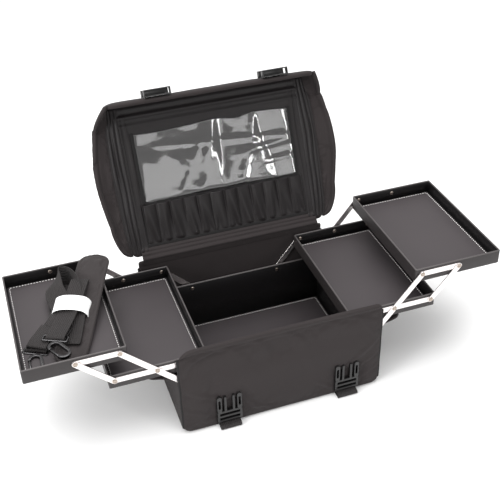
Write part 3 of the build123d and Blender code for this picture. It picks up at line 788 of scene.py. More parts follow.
class CASE_OT_body(bpy.types.Operator):
    """Front, back, bottom and end panels of the fabric body"""
    bl_idname = "case.body"
    bl_label = "Fabric body"

    def execute(self, context):
        self.front_panel()
        self.back_panel()
        self.bottom_panel()
        for side, word in SIDES:
            self.end_wall(side, word)
        self.hinge_roll()
        return {"FINISHED"}

    def upright(self, node, half, top, radii, outer, inner, bow):
        """A padded upright panel: a plate on a track that climbs from the foot to the top."""
        low, high = box_of(node)
        y = (low[1] + high[1]) / 2
        track = straight((0, y, FABRIC_FOOT), (0, y, top), (1, 0, 0))
        across = spread(-half, half, 90, 3 * MM)
        along = spread(0, track.length, 56, 3 * MM)
        longer = Track(np.vstack([track.line, track.line[-1] + [0, 0, 0.03]]), (1, 0, 0))
        return plate(longer, across, along, radii, 2.6 * MM, outer, inner,
                     lambda a, t: (a, t + bow(a) * (t / track.length) ** 2))

    def front_panel(self):
        low, high = box_of("front_panel")
        half, top = high[0], high[2]
        size = sizes()
        height = top - FABRIC_FOOT
        thick = (high[1] - low[1]) / 2
        seam = height - size.edge_roll

        def outer(a, t, edge):
            swell = size.panel_swell * fall(edge, 45 * MM) * np.where(t < BUCKLE_ZONE, strap_room(a), 1)
            swell = swell * (1 - 0.8 * smooth_step(t, 0.55 * height, 0.75 * height))
            swell = swell * (1 - ridge(t, seam, 5 * MM) * 0.9)
            roll = 2.4 * MM * ridge(t, height - size.edge_roll * 0.42, size.edge_roll * 0.6)
            groove = -2.4 * MM * ridge(t, seam, 2.4 * MM)
            wrinkle = 0.35 * MM * ripple(a, t, 90 * MM, 3)
            for start, end, width, depth in FRONT_WRINKLES:
                fold = crease(a, t, np.array(start) * MM, np.array(end) * MM, width * MM)
                wrinkle = wrinkle + depth * MM * fold * np.where(t < BUCKLE_ZONE, strap_room(a), 1)
            return thick + swell + roll + groove + wrinkle * smooth_step(edge, 0, 14 * MM)

        def bow(a):
            return 1.0 * MM * (1 - (a / half) ** 2) - 4 * MM * ridge(a, -half, 26 * MM)

        radii = (14 * MM, 14 * MM, 12 * MM, 20 * MM)
        grids = self.upright("front_panel", half, top, radii, outer, even(thick), bow)
        piece = mesh_piece("front_panel_cover", grids, "nylon fabric")

        def held(points):
            inside = np.minimum(half - np.abs(points[:, 0]), points[:, 2] - low[2])
            seams = 1 - smooth_step(inside, 0, 10 * MM)
            rolled = smooth_step(points[:, 2], top - size.edge_roll - 8 * MM, top - size.edge_roll)
            buckled = 1 - strap_room(points[:, 0], 12 * MM)
            lower = 1 - smooth_step(points[:, 2], BUCKLE_ZONE, BUCKLE_ZONE + 20 * MM)
            behind = points[:, 1] > (low[1] + high[1]) / 2
            return np.maximum.reduce([seams, rolled, buckled * lower, 1.0 * behind])

        puffed(piece, 1.2, 2.2 * MM, held)
        put(piece, "root", "nylon_fabric", "front_panel")

    def back_panel(self):
        low, high = box_of("back_panel")
        half, top = high[0], high[2]
        size = sizes()
        height = top - FABRIC_FOOT
        thick = (high[1] - low[1]) / 2

        def outer(a, t, edge):
            swell = size.panel_swell * fall(edge, 45 * MM) * strap_room(a)
            wrinkle = 0.3 * MM * ripple(a, t, 80 * MM, 8) * strap_room(a)
            return thick + swell + wrinkle * smooth_step(edge, 0, 14 * MM)

        def inner(a, t, edge):
            hem = 0.5 * MM * ridge(t, height - 5 * MM, 5 * MM)
            seam = 0.7 * MM * ridge(t, height - 10 * MM, 1.6 * MM)
            return thick + hem - seam - 0.3 * MM * np.abs(ripple(a, t, 70 * MM, 9))

        # the track's normal faces the inside of the case here
        radii = (14 * MM, 14 * MM, 5 * MM, 5 * MM)
        grids = self.upright("back_panel", half, top, radii, inner, outer, lambda a: 0 * a)
        piece = mesh_piece("back_panel_cover", grids, "nylon fabric")
        put(piece, "root", "nylon_fabric", "back_panel")

    def bottom_panel(self):
        low, high = box_of("bottom_panel")
        inset = 2.5 * MM
        half_x, half_y, thick = high[0] - inset, high[1] - inset, (high[2] - low[2]) / 2
        track = straight((0, -half_y, thick), (0, half_y, thick), (1, 0, 0))

        def under(a, t, edge):
            return thick - 2.0 * MM * (1 - strap_room(a, 1.5 * MM))

        grids = plate(track, spread(-half_x, half_x, 110, 3 * MM), spread(0, track.length, 40, 3 * MM),
                      (12 * MM,) * 4, ROUNDING, even(thick), under)
        piece = mesh_piece("bottom_panel_cover", grids, "nylon fabric")
        put(piece, "root", "nylon_fabric", "bottom_panel")

    def end_wall(self, side, word):
        low, high = box_of(f"{word}_end_wall")
        x, thick = (low[0] + high[0]) / 2, (high[0] - low[0]) / 2
        half = high[1] + 1.5 * MM
        track = straight((x, 0, FABRIC_FOOT), (x, 0, high[2]), (0, side, 0))
        swell = sizes().panel_swell

        def outer(a, t, edge):
            wrinkle = 0.35 * MM * ripple(a, t, 70 * MM, 12)
            return thick + swell * fall(edge, 40 * MM) + wrinkle * smooth_step(edge, 0, 12 * MM)

        def notched(a, t):
            drop = (ARM_WIDTH + 1.5 * MM) * smooth_step(np.abs(a), high[1] - 11 * MM, high[1] - 5 * MM)
            return a, t - drop * (t / track.length) ** 3

        grids = plate(track, spread(-half, half, 90, 3 * MM), spread(0, track.length, 30, 3 * MM),
                      (10 * MM, 10 * MM, 4 * MM, 4 * MM), 2.6 * MM, outer, even(thick), notched)
        piece = mesh_piece(f"{word}_end_wall_cover", grids, "nylon fabric")
        put(piece, "root", "nylon_fabric", f"{word}_end_wall")

    def hinge_roll(self):
        low, high = box_of("hinge_tape")
        radius = (high[1] - low[1]) / 2
        y, z = (low[1] + high[1]) / 2, high[2] - radius
        x = np.linspace(low[0], high[0], 120)
        sag = 0.25 * MM * np.sin(x * 90)
        roll = tube(np.column_stack([x, np.full_like(x, y), z + sag]), radius * 1.05, 14)
        track = straight((0, y, low[2] - 8 * MM), (0, y, z), (1, 0, 0))
        tape = plate(track, spread(low[0], high[0], 60, 1 * MM), spread(0, track.length, 8, 1 * MM),
                     (1 * MM,) * 4, 1 * MM, even(1.0 * MM), even(1.0 * MM))
        piece = mesh_piece("hinge_roll_cover", [roll] + tape, "nylon fabric")
        put(piece, "root", "nylon_fabric", "hinge_tape")


class CASE_OT_hinge_band(bpy.types.Operator):
    """Padded band inside the hinge, sewn to the back panel and to the lid"""
    bl_idname = "case.hinge_band"
    bl_label = "Hinge band"

    def execute(self, context):
        """A line up the back panel, round the roll and onto the lid, with three soft folds across it."""
        low, high = box_of("hinge_tape")
        face = box_of("back_panel")[0][1]
        lid_face = lid_box("lid_panel")[1][2]
        lower = on_lid(0.0, 7 * MM, lid_face + 4.5 * MM)
        upper = on_lid(0.0, 19 * MM, lid_face + 1.6 * MM)
        corners = [(face - 0.6 * MM, low[2] - 9 * MM), (face - 1.6 * MM, low[2] - 1 * MM),
                   (face - 1.2 * MM, HINGE[2] + 1.5 * MM), lower[1:], upper[1:]]
        points = smooth_line([(0, *corner) for corner in corners], 14)
        track = Track(points, (1, 0, 0))
        half = high[0] + 1 * MM

        def outer(a, t, edge):
            folds = 0.0
            for height, place, width in ((1.9, 0.40, 0.13), (1.7, 0.66, 0.12), (1.0, 0.86, 0.1)):
                folds = folds + height * MM * ridge(t, place * track.length, width * track.length)
            return 0.7 * MM + folds * (0.85 + 0.15 * np.sin(a * 60)) + 0.2 * MM * ripple(a, t, 30 * MM, 71)

        grids = plate(track, spread(-half, half, 130, 1 * MM), spread(0, track.length, 60, 1 * MM),
                      (2 * MM,) * 4, 1 * MM, outer, even(0.5 * MM))
        piece = mesh_piece("hinge_band_cover", grids, "nylon fabric")
        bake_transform(piece)
        return {"FINISHED"}


class CASE_OT_edge_tape(bpy.types.Operator):
    """Piping down the upright corners of the fabric body"""
    bl_idname = "case.edge_tape"
    bl_label = "Edge tape"

    def execute(self, context):
        front, back = box_of("front_panel"), box_of("back_panel")
        grids = []
        for side, _ in SIDES:
            for low, high in (front, back):
                y = (low[1] + high[1]) / 2
                x = side * (high[0] + 0.2 * MM)
                z = np.linspace(12 * MM, high[2] - 14 * MM, 60)
                wander = 0.35 * MM * np.sin(z * 120 + side)
                line = np.column_stack([np.full_like(z, x) + side * 0.3 * MM, y + wander, z])
                grids.append(tube(line, 1.9 * MM, 12, 1.3, (0, 1, 0)))
        piece = mesh_piece("panel_edge_piping", grids, "binding tape")
        put(piece, "root", "binding_tape", "edge_bindings")
        return {"FINISHED"}


class CASE_OT_flaps(bpy.types.Operator):
    """Padded side flaps, folded out over the end walls"""
    bl_idname = "case.flaps"
    bl_label = "Side flaps"

    def execute(self, context):
        for side, word in SIDES:
            points = vertices_of(f"{word}_side_flap")
            hinge = pivot_of(f"{word}_side_flap_fold")
            reach = points[:, 0] * side
            far = points[reach > reach.max() - 0.2 * MM].mean(0)
            out = np.array([far[0] - hinge[0], 0, far[2] - hinge[2] + 2.4 * MM])
            out /= np.linalg.norm(out)
            half = points[:, 1].max()
            run = (points - hinge) @ out
            start = hinge - out * 3 * MM - np.array([0, 0, 2.6 * MM])
            track = straight(start, start + out * (run.max() + 3 * MM), (0, -side, 0))

            def face(a, t, edge):
                quilt = 1.8 * MM * fall(edge, 22 * MM) - 1.0 * MM * ridge(edge, 7 * MM, 1.6 * MM)
                wrinkle = 0.5 * MM * ripple(a, t, 45 * MM, 21 + side)
                return 2.4 * MM + quilt + wrinkle * smooth_step(edge, 2 * MM, 12 * MM)

            grids = plate(track, spread(-half, half, 100, ROUNDING), spread(0, track.length, 26, ROUNDING),
                          (3 * MM, 3 * MM, 15 * MM, 15 * MM), ROUNDING, face,
                          lambda a, t, edge: face(a, t, edge) * 0.8)
            piece = mesh_piece(f"{word}_side_flap_cover", grids, "nylon fabric")
            sewn = points_of(piece.data)
            puffed(piece, 2.5, 2.2 * MM, sewn_edges(sewn.min(0), sewn.max(0), 12 * MM, (0, 1)))
            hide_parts(f"{word}_side_flap")
            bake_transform(piece)
        return {"FINISHED"}


# ---- lid ----

class CASE_OT_lid_shell(bpy.types.Operator):
    """The lid's padded panel and front lip, one fabric shell bent round the corner"""
    bl_idname = "case.lid_shell"
    bl_label = "Lid shell"

    def execute(self, context):
        panel_low, panel_high = lid_box("lid_panel")
        lip_low, lip_high = lid_box("lid_front_lip")
        middle = (panel_low[2] + panel_high[2]) / 2
        thick = (panel_high[2] - panel_low[2]) / 2
        lip_middle, lip_thick = (lip_low[1] + lip_high[1]) / 2, (lip_high[1] - lip_low[1]) / 2
        corner = 8 * MM
        flat = filleted([(panel_low[1], middle), (lip_middle, middle), (lip_middle, lip_high[2])], [corner])
        track = Track(on_lid(0.0, flat[:, 0], flat[:, 1]), (1, 0, 0))
        panel_run = lip_middle - panel_low[1]
        half, flared = panel_high[0] + 2.4 * MM, lip_high[0]
        swell = sizes().panel_swell
        roll = 9 * MM

        def bend(a, t):
            lip_share = np.clip((t - panel_run) / (track.length - panel_run), 0, 1)
            return a * (1 + (flared / half - 1) * lip_share), t

        def from_panel_to_lip(t):
            on_lip = smooth_step(t, panel_run - 4 * MM, panel_run + 8 * MM)
            return on_lip, thick + (lip_thick - thick) * on_lip

        def inside(a, t, edge):
            on_lip, base = from_panel_to_lip(t)
            left = track.length - t
            bead = 1.5 * MM * ridge(left, roll * 0.45, roll * 0.6)
            bead = bead - 1.6 * MM * ridge(left, roll + 2 * MM, 2.2 * MM)
            band = -1.9 * MM * ridge(left, 27 * MM, 2.6 * MM) + 0.8 * MM * ridge(left, 19 * MM, 8 * MM)
            lower = 0.6 * MM * ridge(left, 38 * MM, 10 * MM) + 0.4 * MM * ripple(a, t, 60 * MM, 31)
            hem = 2.4 * MM * ridge(t, 6 * MM, 6 * MM) - 1.0 * MM * ridge(t, 12 * MM, 2 * MM)
            return base + (bead + band + lower) * on_lip + hem * (1 - on_lip)

        def outside(a, t, edge):
            _, base = from_panel_to_lip(t)
            puff = swell * fall(edge, 40 * MM) * strap_room(a)
            puff = puff + 0.4 * MM * ripple(a, t, 85 * MM, 33) * strap_room(a)
            return base + puff * smooth_step(edge, 0, 12 * MM)

        grids = plate(track, spread(-half, half, 110, ROUNDING), spread(0, track.length, 120, ROUNDING),
                      (10 * MM, 10 * MM, 12 * MM, 12 * MM), 3.4 * MM, inside, outside, bend)
        piece = mesh_piece("lid_shell_cover", grids, "nylon fabric")
        put(piece, "lid", "nylon_fabric", "lid_panel", "lid_front_lip")
        return {"FINISHED"}


LOBE_START = 7 * MM             # lower end of a wing, measured along the lid from the hinge
LID_MIDDLE = 0.15               # middle of the lid, measured so
WING_CLOTH = 46 * MM            # width of a wing's cloth, for its weave


class CASE_OT_wings(bpy.types.Operator):
    """The lid's padded end wings, each joined to the lip at its upper end"""
    bl_idname = "case.wings"
    bl_label = "Lid wings"

    def execute(self, context):
        for side, word in SIDES:
            self.wing(side, word)
            self.gusset(side, word)
        return {"FINISHED"}

    def outline(self, word):
        """Root place, lean, and reach from the root at each place along the lid, from the CAD wing."""
        points = (vertices_of(f"{word}_lid_wing") - HINGE) @ LID_AXES.T
        across, along, forward = np.abs(points[:, 0]), points[:, 1], points[:, 2]
        root = abs(pivot_of(f"{word}_lid_wing_fold")[0])
        flat = np.stack([across - across.mean(), forward - forward.mean()], -1)
        way = np.linalg.svd(flat, full_matrices=False)[2][0]
        way = way * np.sign(way[0])
        height = (across - root) * way[0] + forward * way[1]
        height = height - height.min()
        free = height > 4 * MM
        order = np.argsort(along[free])
        base = forward[height < 4 * MM].mean()
        places, reach = along[free][order], height[free][order]
        # the fabric's lower lobe is a quarter ellipse that ends just above the hinge
        blend_in = places[0] + 40 * MM
        full = np.interp(blend_in, places, reach)
        toe = np.linspace(LOBE_START, blend_in, 24)
        lobe = full * np.sqrt(1 - ((blend_in - toe) / (blend_in - LOBE_START + 0.4 * MM)) ** 2)
        above = places > blend_in
        return root, base, way, np.concatenate([toe, places[above]]), np.concatenate([lobe, reach[above]])

    def wing(self, side, word):
        """The free edge follows the outline, then a swollen line to the lip's corner from where that line
        touches it; rows join the edge to the root, bowed outwards by a half sine."""
        root, base, way, places, reach = self.outline(word)
        lip_low, lip_high = lid_box("lid_front_lip")
        start, top = places[0], places[-1]
        end = (lip_low[1] + lip_high[1]) / 2 + 1.5 * MM
        s, q = np.meshgrid(spread(start, end, 120, 3 * MM), spread(0, 1, 30, 0.08), indexing="ij")
        corner = np.array([lip_high[0] - root, lip_high[2] - 1.5 * MM - base])
        high = places > (start + top) / 2
        leave = places[high][np.argmax((reach[high] - corner @ way) / (end - places[high]))]
        width = np.interp(np.minimum(s, leave), places, reach)
        joined = np.clip((s - leave) / (end - leave), 0, 1)
        swell = 2.5 * MM * np.sin(math.pi * joined)
        edge_x = root + width * way[0] * (1 - joined) + corner[0] * joined + swell * way[0]
        edge_h = base + width * way[1] * (1 - joined) + corner[1] * joined + swell * way[1]
        bow = 0.09 * width * np.sin(math.pi * q) * (1 - joined)
        across = root + (edge_x - root) * q + bow * way[1]
        forward = base + (edge_h - base) * q - bow * way[0]
        chord = np.hypot(edge_x - root, edge_h - base)
        free = (1 - q) * chord
        edge = np.minimum(np.minimum(free, s - start), end - s)
        bead = 2.3 * MM * ridge(free, 4.5 * MM, 5.5 * MM) - 0.9 * MM * ridge(free, 11 * MM, 2 * MM)
        folds = 1.0 * MM * ripple(s * 0.5, q * 0.05, 30 * MM, 41 + side) + 0.9 * MM * ridge(q, 0.35, 0.2)
        from_ends = smooth_step(np.minimum(s - start, end - s), 4 * MM, 30 * MM)
        folds = folds * from_ends * fall(edge, 6 * MM) * 0.6
        thick = (1.8 * MM + np.where(chord > 14 * MM, bead, 0)) * fall(edge, 3 * MM)
        uv = np.stack([q * WING_CLOTH, s], -1)
        grids = shell(on_lid(side * across, s, forward), thick + folds, thick - folds, uv)
        piece = mesh_piece(f"{word}_lid_wing_cover", grids, "nylon fabric", merge=2e-5)

        def held(points):
            local = (points - HINGE) @ LID_AXES.T
            beside_root = 1 - smooth_step(np.abs(local[:, 0]) - root, 4 * MM, 12 * MM)
            ends = np.maximum(1 - smooth_step(local[:, 1], start, start + 12 * MM),
                              smooth_step(local[:, 1], top - 14 * MM, top + 6 * MM))
            return np.maximum(beside_root, ends)

        puffed(piece, 1.8, 1.8 * MM, held)
        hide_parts(f"{word}_lid_wing")
        upper, lower = (on_lid(side * root, place, base) for place in (end - 1 * MM, top - 20 * MM))
        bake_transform(piece)

    def gusset(self, side, word):
        """Loose lining between lid and wing: three long folds, each a hump across that wanders along it."""
        root, base, way, places, reach = self.outline(word)
        start, end = places[0] + 3 * MM, places[-1] + 18 * MM
        s, q = np.meshgrid(spread(start, end, 100, 1 * MM, 3), spread(0, 1, 64, 0.02, 3), indexing="ij")
        inner = lid_box("lid_liner")[1][0] - 16 * MM
        width = np.interp(s, places, reach)
        narrow = smooth_step(s, places[-1] - 30 * MM, end)
        outer = root + width * way[0] * 0.24 * (1 - narrow) + 2 * MM * narrow
        wander = 0.035 * np.sin(s * 22 + side) + 0.02 * np.sin(s * 61)
        place = q + wander * np.sin(math.pi * q)
        humps = ridge(place, 0.22, 0.15) * 0.8 + ridge(place, 0.52, 0.15) + ridge(place, 0.80, 0.12) * 0.7
        ends = smooth_step(np.minimum(s - start, end - s), 0, 30 * MM)
        across = inner + (outer - inner) * q
        lift = np.maximum(across - root, 0) * way[1] / way[0]
        settle = 1.6 * MM * (1 - smooth_step(across, root - 4 * MM, root + 3 * MM)) + 1.6 * MM
        uneven = (0.45 + 0.55 * ends) * (0.85 + 0.15 * np.sin(s * 45))
        forward = base + lift + settle + 3.4 * MM * humps * uneven
        edge = np.minimum(np.minimum(q, 1 - q) * (outer - inner), np.minimum(s - start, end - s))
        thick = 0.5 * MM * fall(edge, 1 * MM)
        grids = shell(on_lid(side * across, s, forward), thick, thick, np.stack([across, s], -1))
        piece = mesh_piece(f"{word}_wing_gusset", grids, "lining fabric")
        first, last = (on_lid(side * (root + shift), LID_MIDDLE, base) for shift in (-14 * MM, 8 * MM))
        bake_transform(piece)


def pressed(piece):
    """Gives a soft piece of the lid's inner face a mesh of its own."""
    face = on_lid(0.0, LID_MIDDLE, lid_box("lid_panel")[1][2])
    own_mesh(piece)


class CASE_OT_lining(bpy.types.Operator):
    """Lining of the lid, with long folds beside the wings and under the lip"""
    bl_idname = "case.lining"
    bl_label = "Lid lining"

    def execute(self, context):
        low, high = lid_box("lid_liner")
        half = high[0]
        a, t = np.meshgrid(spread(-half, half, 150, 1.2 * MM, 3), spread(low[1], high[1], 110, 1.2 * MM, 3),
                           indexing="ij")
        out = np.abs(a)
        shift = 1.5 * MM * np.sin(t * 26)
        side_folds = 3.0 * MM * (ridge(out + shift, half - 14 * MM, 5 * MM)
                                 + 0.8 * ridge(out - shift, half - 24 * MM, 4 * MM))
        top_folds = 3.2 * MM * (0.4 * ridge(t, high[1] - 6 * MM, 5 * MM)
                                + ridge(t, high[1] - 20 * MM, 6 * MM)
                                + 0.5 * ridge(t, high[1] - 36 * MM, 5 * MM))
        uneven = 0.7 * MM * ripple(a, t, 70 * MM, 51) * smooth_step(t, low[1], low[1] + 20 * MM)
        side_folds = side_folds * (1 - 0.5 * ridge(t, high[1], 40 * MM))
        forward = (low[2] + high[2]) / 2 + side_folds + top_folds + uneven
        forward = forward + 2.2 * MM * ridge(t, low[1] + 3 * MM, 5 * MM)
        edge = np.minimum(half - out, np.minimum(t - low[1], high[1] - t))
        thick = 0.5 * MM * fall(edge, 1.2 * MM)
        grids = shell(on_lid(a, t, forward), thick, thick, np.stack([a, t], -1))
        piece = mesh_piece("lid_lining_sheet", grids, "lining fabric")
        put(piece, "lid", "lining_fabric", "lid_liner")
        pressed(piece)
        return {"FINISHED"}


# sharp folds of the film in shares of the pocket: place, lean, half width and height, and where a fold starts
FOLDS_UP = ((-0.12, 0.25, 0.07, 0.5), (0.08, 0.10, 0.06, -0.45), (-0.52, -0.35, 0.10, 0.35),
            (0.42, 0.30, 0.06, 0.3), (0.66, -0.2, 0.07, -0.3), (-0.30, 0.5, 0.05, 0.22))
FOLDS_ACROSS = ((0.42, 0.12, 0.06, 0.35, 0.15), (0.70, -0.10, 0.05, 0.25, -0.9),
                (0.24, 0.05, 0.05, 0.25, 0.3))


def film_forward(a, t, low, high):
    """How far the clear film stands off the lining, in shares of its swell.

    Broad swells, sharper folds along chosen lines, and small crinkles whose places are warped by the swells.
    """
    reach_a, reach_t = (high[0] - low[0]) / 2, high[1] - low[1]
    u, v = a / reach_a, (t - low[1]) / reach_t
    swell = 0.5 + 0.42 * np.sin(2.9 * u + 1.2 + 1.4 * v) * np.cos(2.2 * v - 0.6 * u)
    folds = 0.0
    for middle, lean, half, height in FOLDS_UP:
        hump = height * np.exp(-((u - middle - lean * (v - 0.5)) / half) ** 2)
        folds = folds + hump * (0.4 + 0.6 * np.sin(2.6 * v + 4 * u) ** 2)
    for middle, lean, half, height, start in FOLDS_ACROSS:
        hump = height * np.exp(-((v - middle - lean * u) / half) ** 2)
        folds = folds + hump * smooth_step(u, start, start + 0.4)
    crinkle = ripple(a + 10 * MM * swell, t + 12 * MM * np.sin(5 * u), 95 * MM, 81)
    crinkle = 0.22 * crinkle + 0.05 * np.abs(ripple(a, t, 40 * MM, 82)) ** 1.5
    hold = fall(reach_a - np.abs(a), 12 * MM) * fall(t - low[1], 14 * MM)
    return (swell + folds + crinkle) * hold


class CASE_OT_clear_pocket(bpy.types.Operator):
    """Clear film pocket with a wavy open top, bound on three sides"""
    bl_idname = "case.clear_pocket"
    bl_label = "Clear pocket"

    def execute(self, context):
        low, high = lid_box("clear_pocket")
        a, t = np.meshgrid(spread(low[0] - 2 * MM, high[0] + 2 * MM, 150, 0.4 * MM, 2),
                           spread(low[1] - 2 * MM, high[1], 90, 0.4 * MM, 2), indexing="ij")
        u, v = a / high[0], (t - low[1]) / (high[1] - low[1])
        top_wave = 3.5 * MM * np.sin(3.2 * u + 0.6) - 7 * MM * np.exp(-((u - 0.30) / 0.16) ** 2)
        t = t + top_wave * np.clip(v, 0, 1) ** 2
        swell = film_forward(a, np.minimum(t, high[1]), low, high)
        forward = low[2] + 0.4 * MM + sizes().film_swell * 0.8 * swell
        from_ends = np.minimum(v - v.min(), v.max() - v) * (high[1] - low[1])
        edge = np.minimum(np.minimum(a - a.min(), a.max() - a), from_ends)
        thick = 0.2 * MM * fall(edge, 0.4 * MM)
        grids = shell(on_lid(a, t, forward), thick, thick, np.stack([a, t], -1))
        piece = mesh_piece("clear_pocket_film", grids, "clear film")
        put(piece, "lid", "clear_film", "clear_pocket")
        pressed(piece)
        self.binding()
        return {"FINISHED"}

    def binding(self):
        """Folded tape carried down one side, along the bottom and up the other."""
        low, high = lid_box("clear_pocket_binding")
        tape = 6.0 * MM
        x, s = high[0] - tape / 2, low[1] + tape / 2
        h = (low[2] + high[2]) / 2 + 0.6 * MM
        flat = filleted([(-x, high[1] + 1 * MM), (-x, s), (x, s), (x, high[1] + 1 * MM)], [9 * MM, 9 * MM])
        track = Track(on_lid(flat[:, 0], flat[:, 1], h), (0, 0, 1))
        # sideways is square to the line within the lid's face
        track.normal = np.broadcast_to(FORWARD, track.line.shape)
        track.side = np.cross(track.ahead, track.normal)
        grids = plate(track, spread(-tape / 2, tape / 2, 5, 1 * MM), spread(0, track.length, 240, 1 * MM, 3),
                      (1 * MM,) * 4, 1 * MM, lambda a, t, edge: 0.9 * MM + 0.15 * MM * np.sin(t * 900),
                      even(0.8 * MM))
        piece = mesh_piece("clear_pocket_tape", grids, "binding tape")
        put(piece, "lid", "binding_tape", "clear_pocket_binding")


class CASE_OT_brush_slots(bpy.types.Operator):
    """Row of gathered brush slots below the clear pocket"""
    bl_idname = "case.brush_slots"
    bl_label = "Brush slots"

    def execute(self, context):
        low, high = lid_box("brush_slots")
        size = sizes()
        count = size.slot_count
        half, base = high[0] - 4 * MM, low[2] + 0.5 * MM
        top = high[1] + 6 * MM
        a, t = np.meshgrid(np.linspace(-half, half, count * 22 + 1), np.linspace(low[1], top, 44),
                           indexing="ij")
        width = 2 * half / count
        slot = (a + half) / width
        number = np.clip(np.floor(slot), 0, count - 1)
        u = slot - number
        v = (t - low[1]) / (top - low[1])
        lean = 0.30 + 0.12 * np.sin(number * 2.3 + 0.5)
        skewed = u ** (math.log(0.5) / np.log(lean))
        tall = 0.6 + 0.4 * np.sin(number * 1.7 + 1.0) ** 2
        gather = np.sin(math.pi * skewed) ** 0.7 * tall * (0.2 + 0.8 * smooth_step(v, 0.0, 0.8))
        small = 0.28 * np.sin(3 * math.pi * skewed + 2.2 * v + number) * (1 - v) * np.sin(math.pi * u)
        drift = width * 0.34 * np.sin(math.pi * u) * (0.5 - v) * np.where(number % 4 == 1, -0.4, 1)
        forward = base + size.slot_depth * np.clip(gather + small, 0, 1) * smooth_step(v, 0.0, 0.12)
        edge = np.minimum(np.minimum(a + half, half - a), np.minimum(t - low[1], top - t))
        thick = 0.45 * MM * fall(edge, 1 * MM)
        grids = shell(on_lid(a + drift, t, forward), thick, thick, np.stack([a, t], -1))
        piece = mesh_piece("brush_slot_row", grids, "lining fabric")
        put(piece, "lid", "lining_fabric", "brush_slots")
        pressed(piece)
        hem_line = on_lid(np.linspace(-half - 3 * MM, half + 3 * MM, 90), low[1] + 1.5 * MM, base + 0.6 * MM)
        hem_track = Track(hem_line, ALONG)

        def face(a, t, edge):
            return 0.9 * MM + 0.2 * MM * np.sin(t * 400)

        hem = plate(hem_track, spread(-3 * MM, 3 * MM, 5, 1 * MM), spread(0, hem_track.length, 90, 1 * MM, 3),
                    (1 * MM,) * 4, 1 * MM, face, face)
        put(mesh_piece("brush_slot_hem", hem, "binding tape"), "lid", "binding_tape")
        return {"FINISHED"}


# ---- webbing and buckles ----

WEBBING_HALF = 0.9 * MM         # half of its thickness


def webbing_grids(track, half=STRAP_HALF):
    """Flat webbing along a track: its faces rise and fall in ribs along its length."""
    ribs = sizes().rib_pitch

    def face(a, t, edge):
        return WEBBING_HALF * (0.88 + 0.12 * np.cos(2 * math.pi * a / ribs))

    steps = max(int(track.length / (3 * MM)), 12)
    across, along = spread(-half, half, 49, WEBBING_HALF, 3), spread(0, track.length, steps, WEBBING_HALF, 3)
    return plate(track, across, along, (1 * MM,) * 4, WEBBING_HALF, face, face)


class CASE_OT_straps(bpy.types.Operator):
    """Closing straps: webbing under the case and over the lid"""
    bl_idname = "case.straps"
    bl_label = "Closing straps"

    def execute(self, context):
        low, high = box_of("base_straps")
        half = WEBBING_HALF
        front, back = box_of("front_panel")[0][1] - half - 0.05 * MM, high[1] - half
        nose = low[1] + half
        ladder = box_of("left_male_buckle")[0][2]
        front_top = vertices_of("base_straps")
        front_top = front_top[front_top[:, 1] < 0][:, 2].max()
        path = [(front, front_top), (front, ladder - 4 * MM), (nose, 7.5 * MM), (nose, half), (back, half),
                (back, high[2])]
        flat = filleted(path, [4 * MM, 2.5 * MM, 2.5 * MM, 1.2 * MM])
        grids = []
        for middle in STRAP_MIDDLES.values():
            line = np.column_stack([np.full(len(flat), middle), flat])
            grids += webbing_grids(Track(line, (1, 0, 0)))
        put(mesh_piece("base_strap_webbing", grids, "ribbed webbing"), "root", "webbing", "base_straps")

        low, high = lid_box("lid_straps")
        lip = lid_box("lid_front_lip")[1]
        points = (vertices_of("lid_straps") - HINGE) @ LID_AXES.T
        end = points[points[:, 1] > lip[1]][:, 2].max()
        path = [(low[1], low[2] + half), (high[1] - half, low[2] + half), (high[1] - half, end)]
        flat = filleted(path, [3 * MM])
        grids = []
        for middle in STRAP_MIDDLES.values():
            grids += webbing_grids(Track(on_lid(middle, flat[:, 0], flat[:, 1]), (1, 0, 0)))
        put(mesh_piece("lid_strap_webbing", grids, "ribbed webbing"), "lid", "webbing", "lid_straps")
        return {"FINISHED"}


class CASE_OT_buckles(bpy.types.Operator):
    """Side-release buckles of the closing straps"""
    bl_idname = "case.buckles"
    bl_label = "Buckles"

    def execute(self, context):
        for _, word in SIDES:
            for kind, source, body in (("prong", "male", "root"), ("socket", "female", "lid")):
                source = f"{word}_{source}_buckle"
                made = softened(f"{word}_{kind}_buckle", source, "buckle plastic", 0.7 * MM)
                put(made, body, "buckle_plastic", source)
        return {"FINISHED"}


# ---- inner box, trays and linkage ----

STITCH_INSET = 3.4 * MM


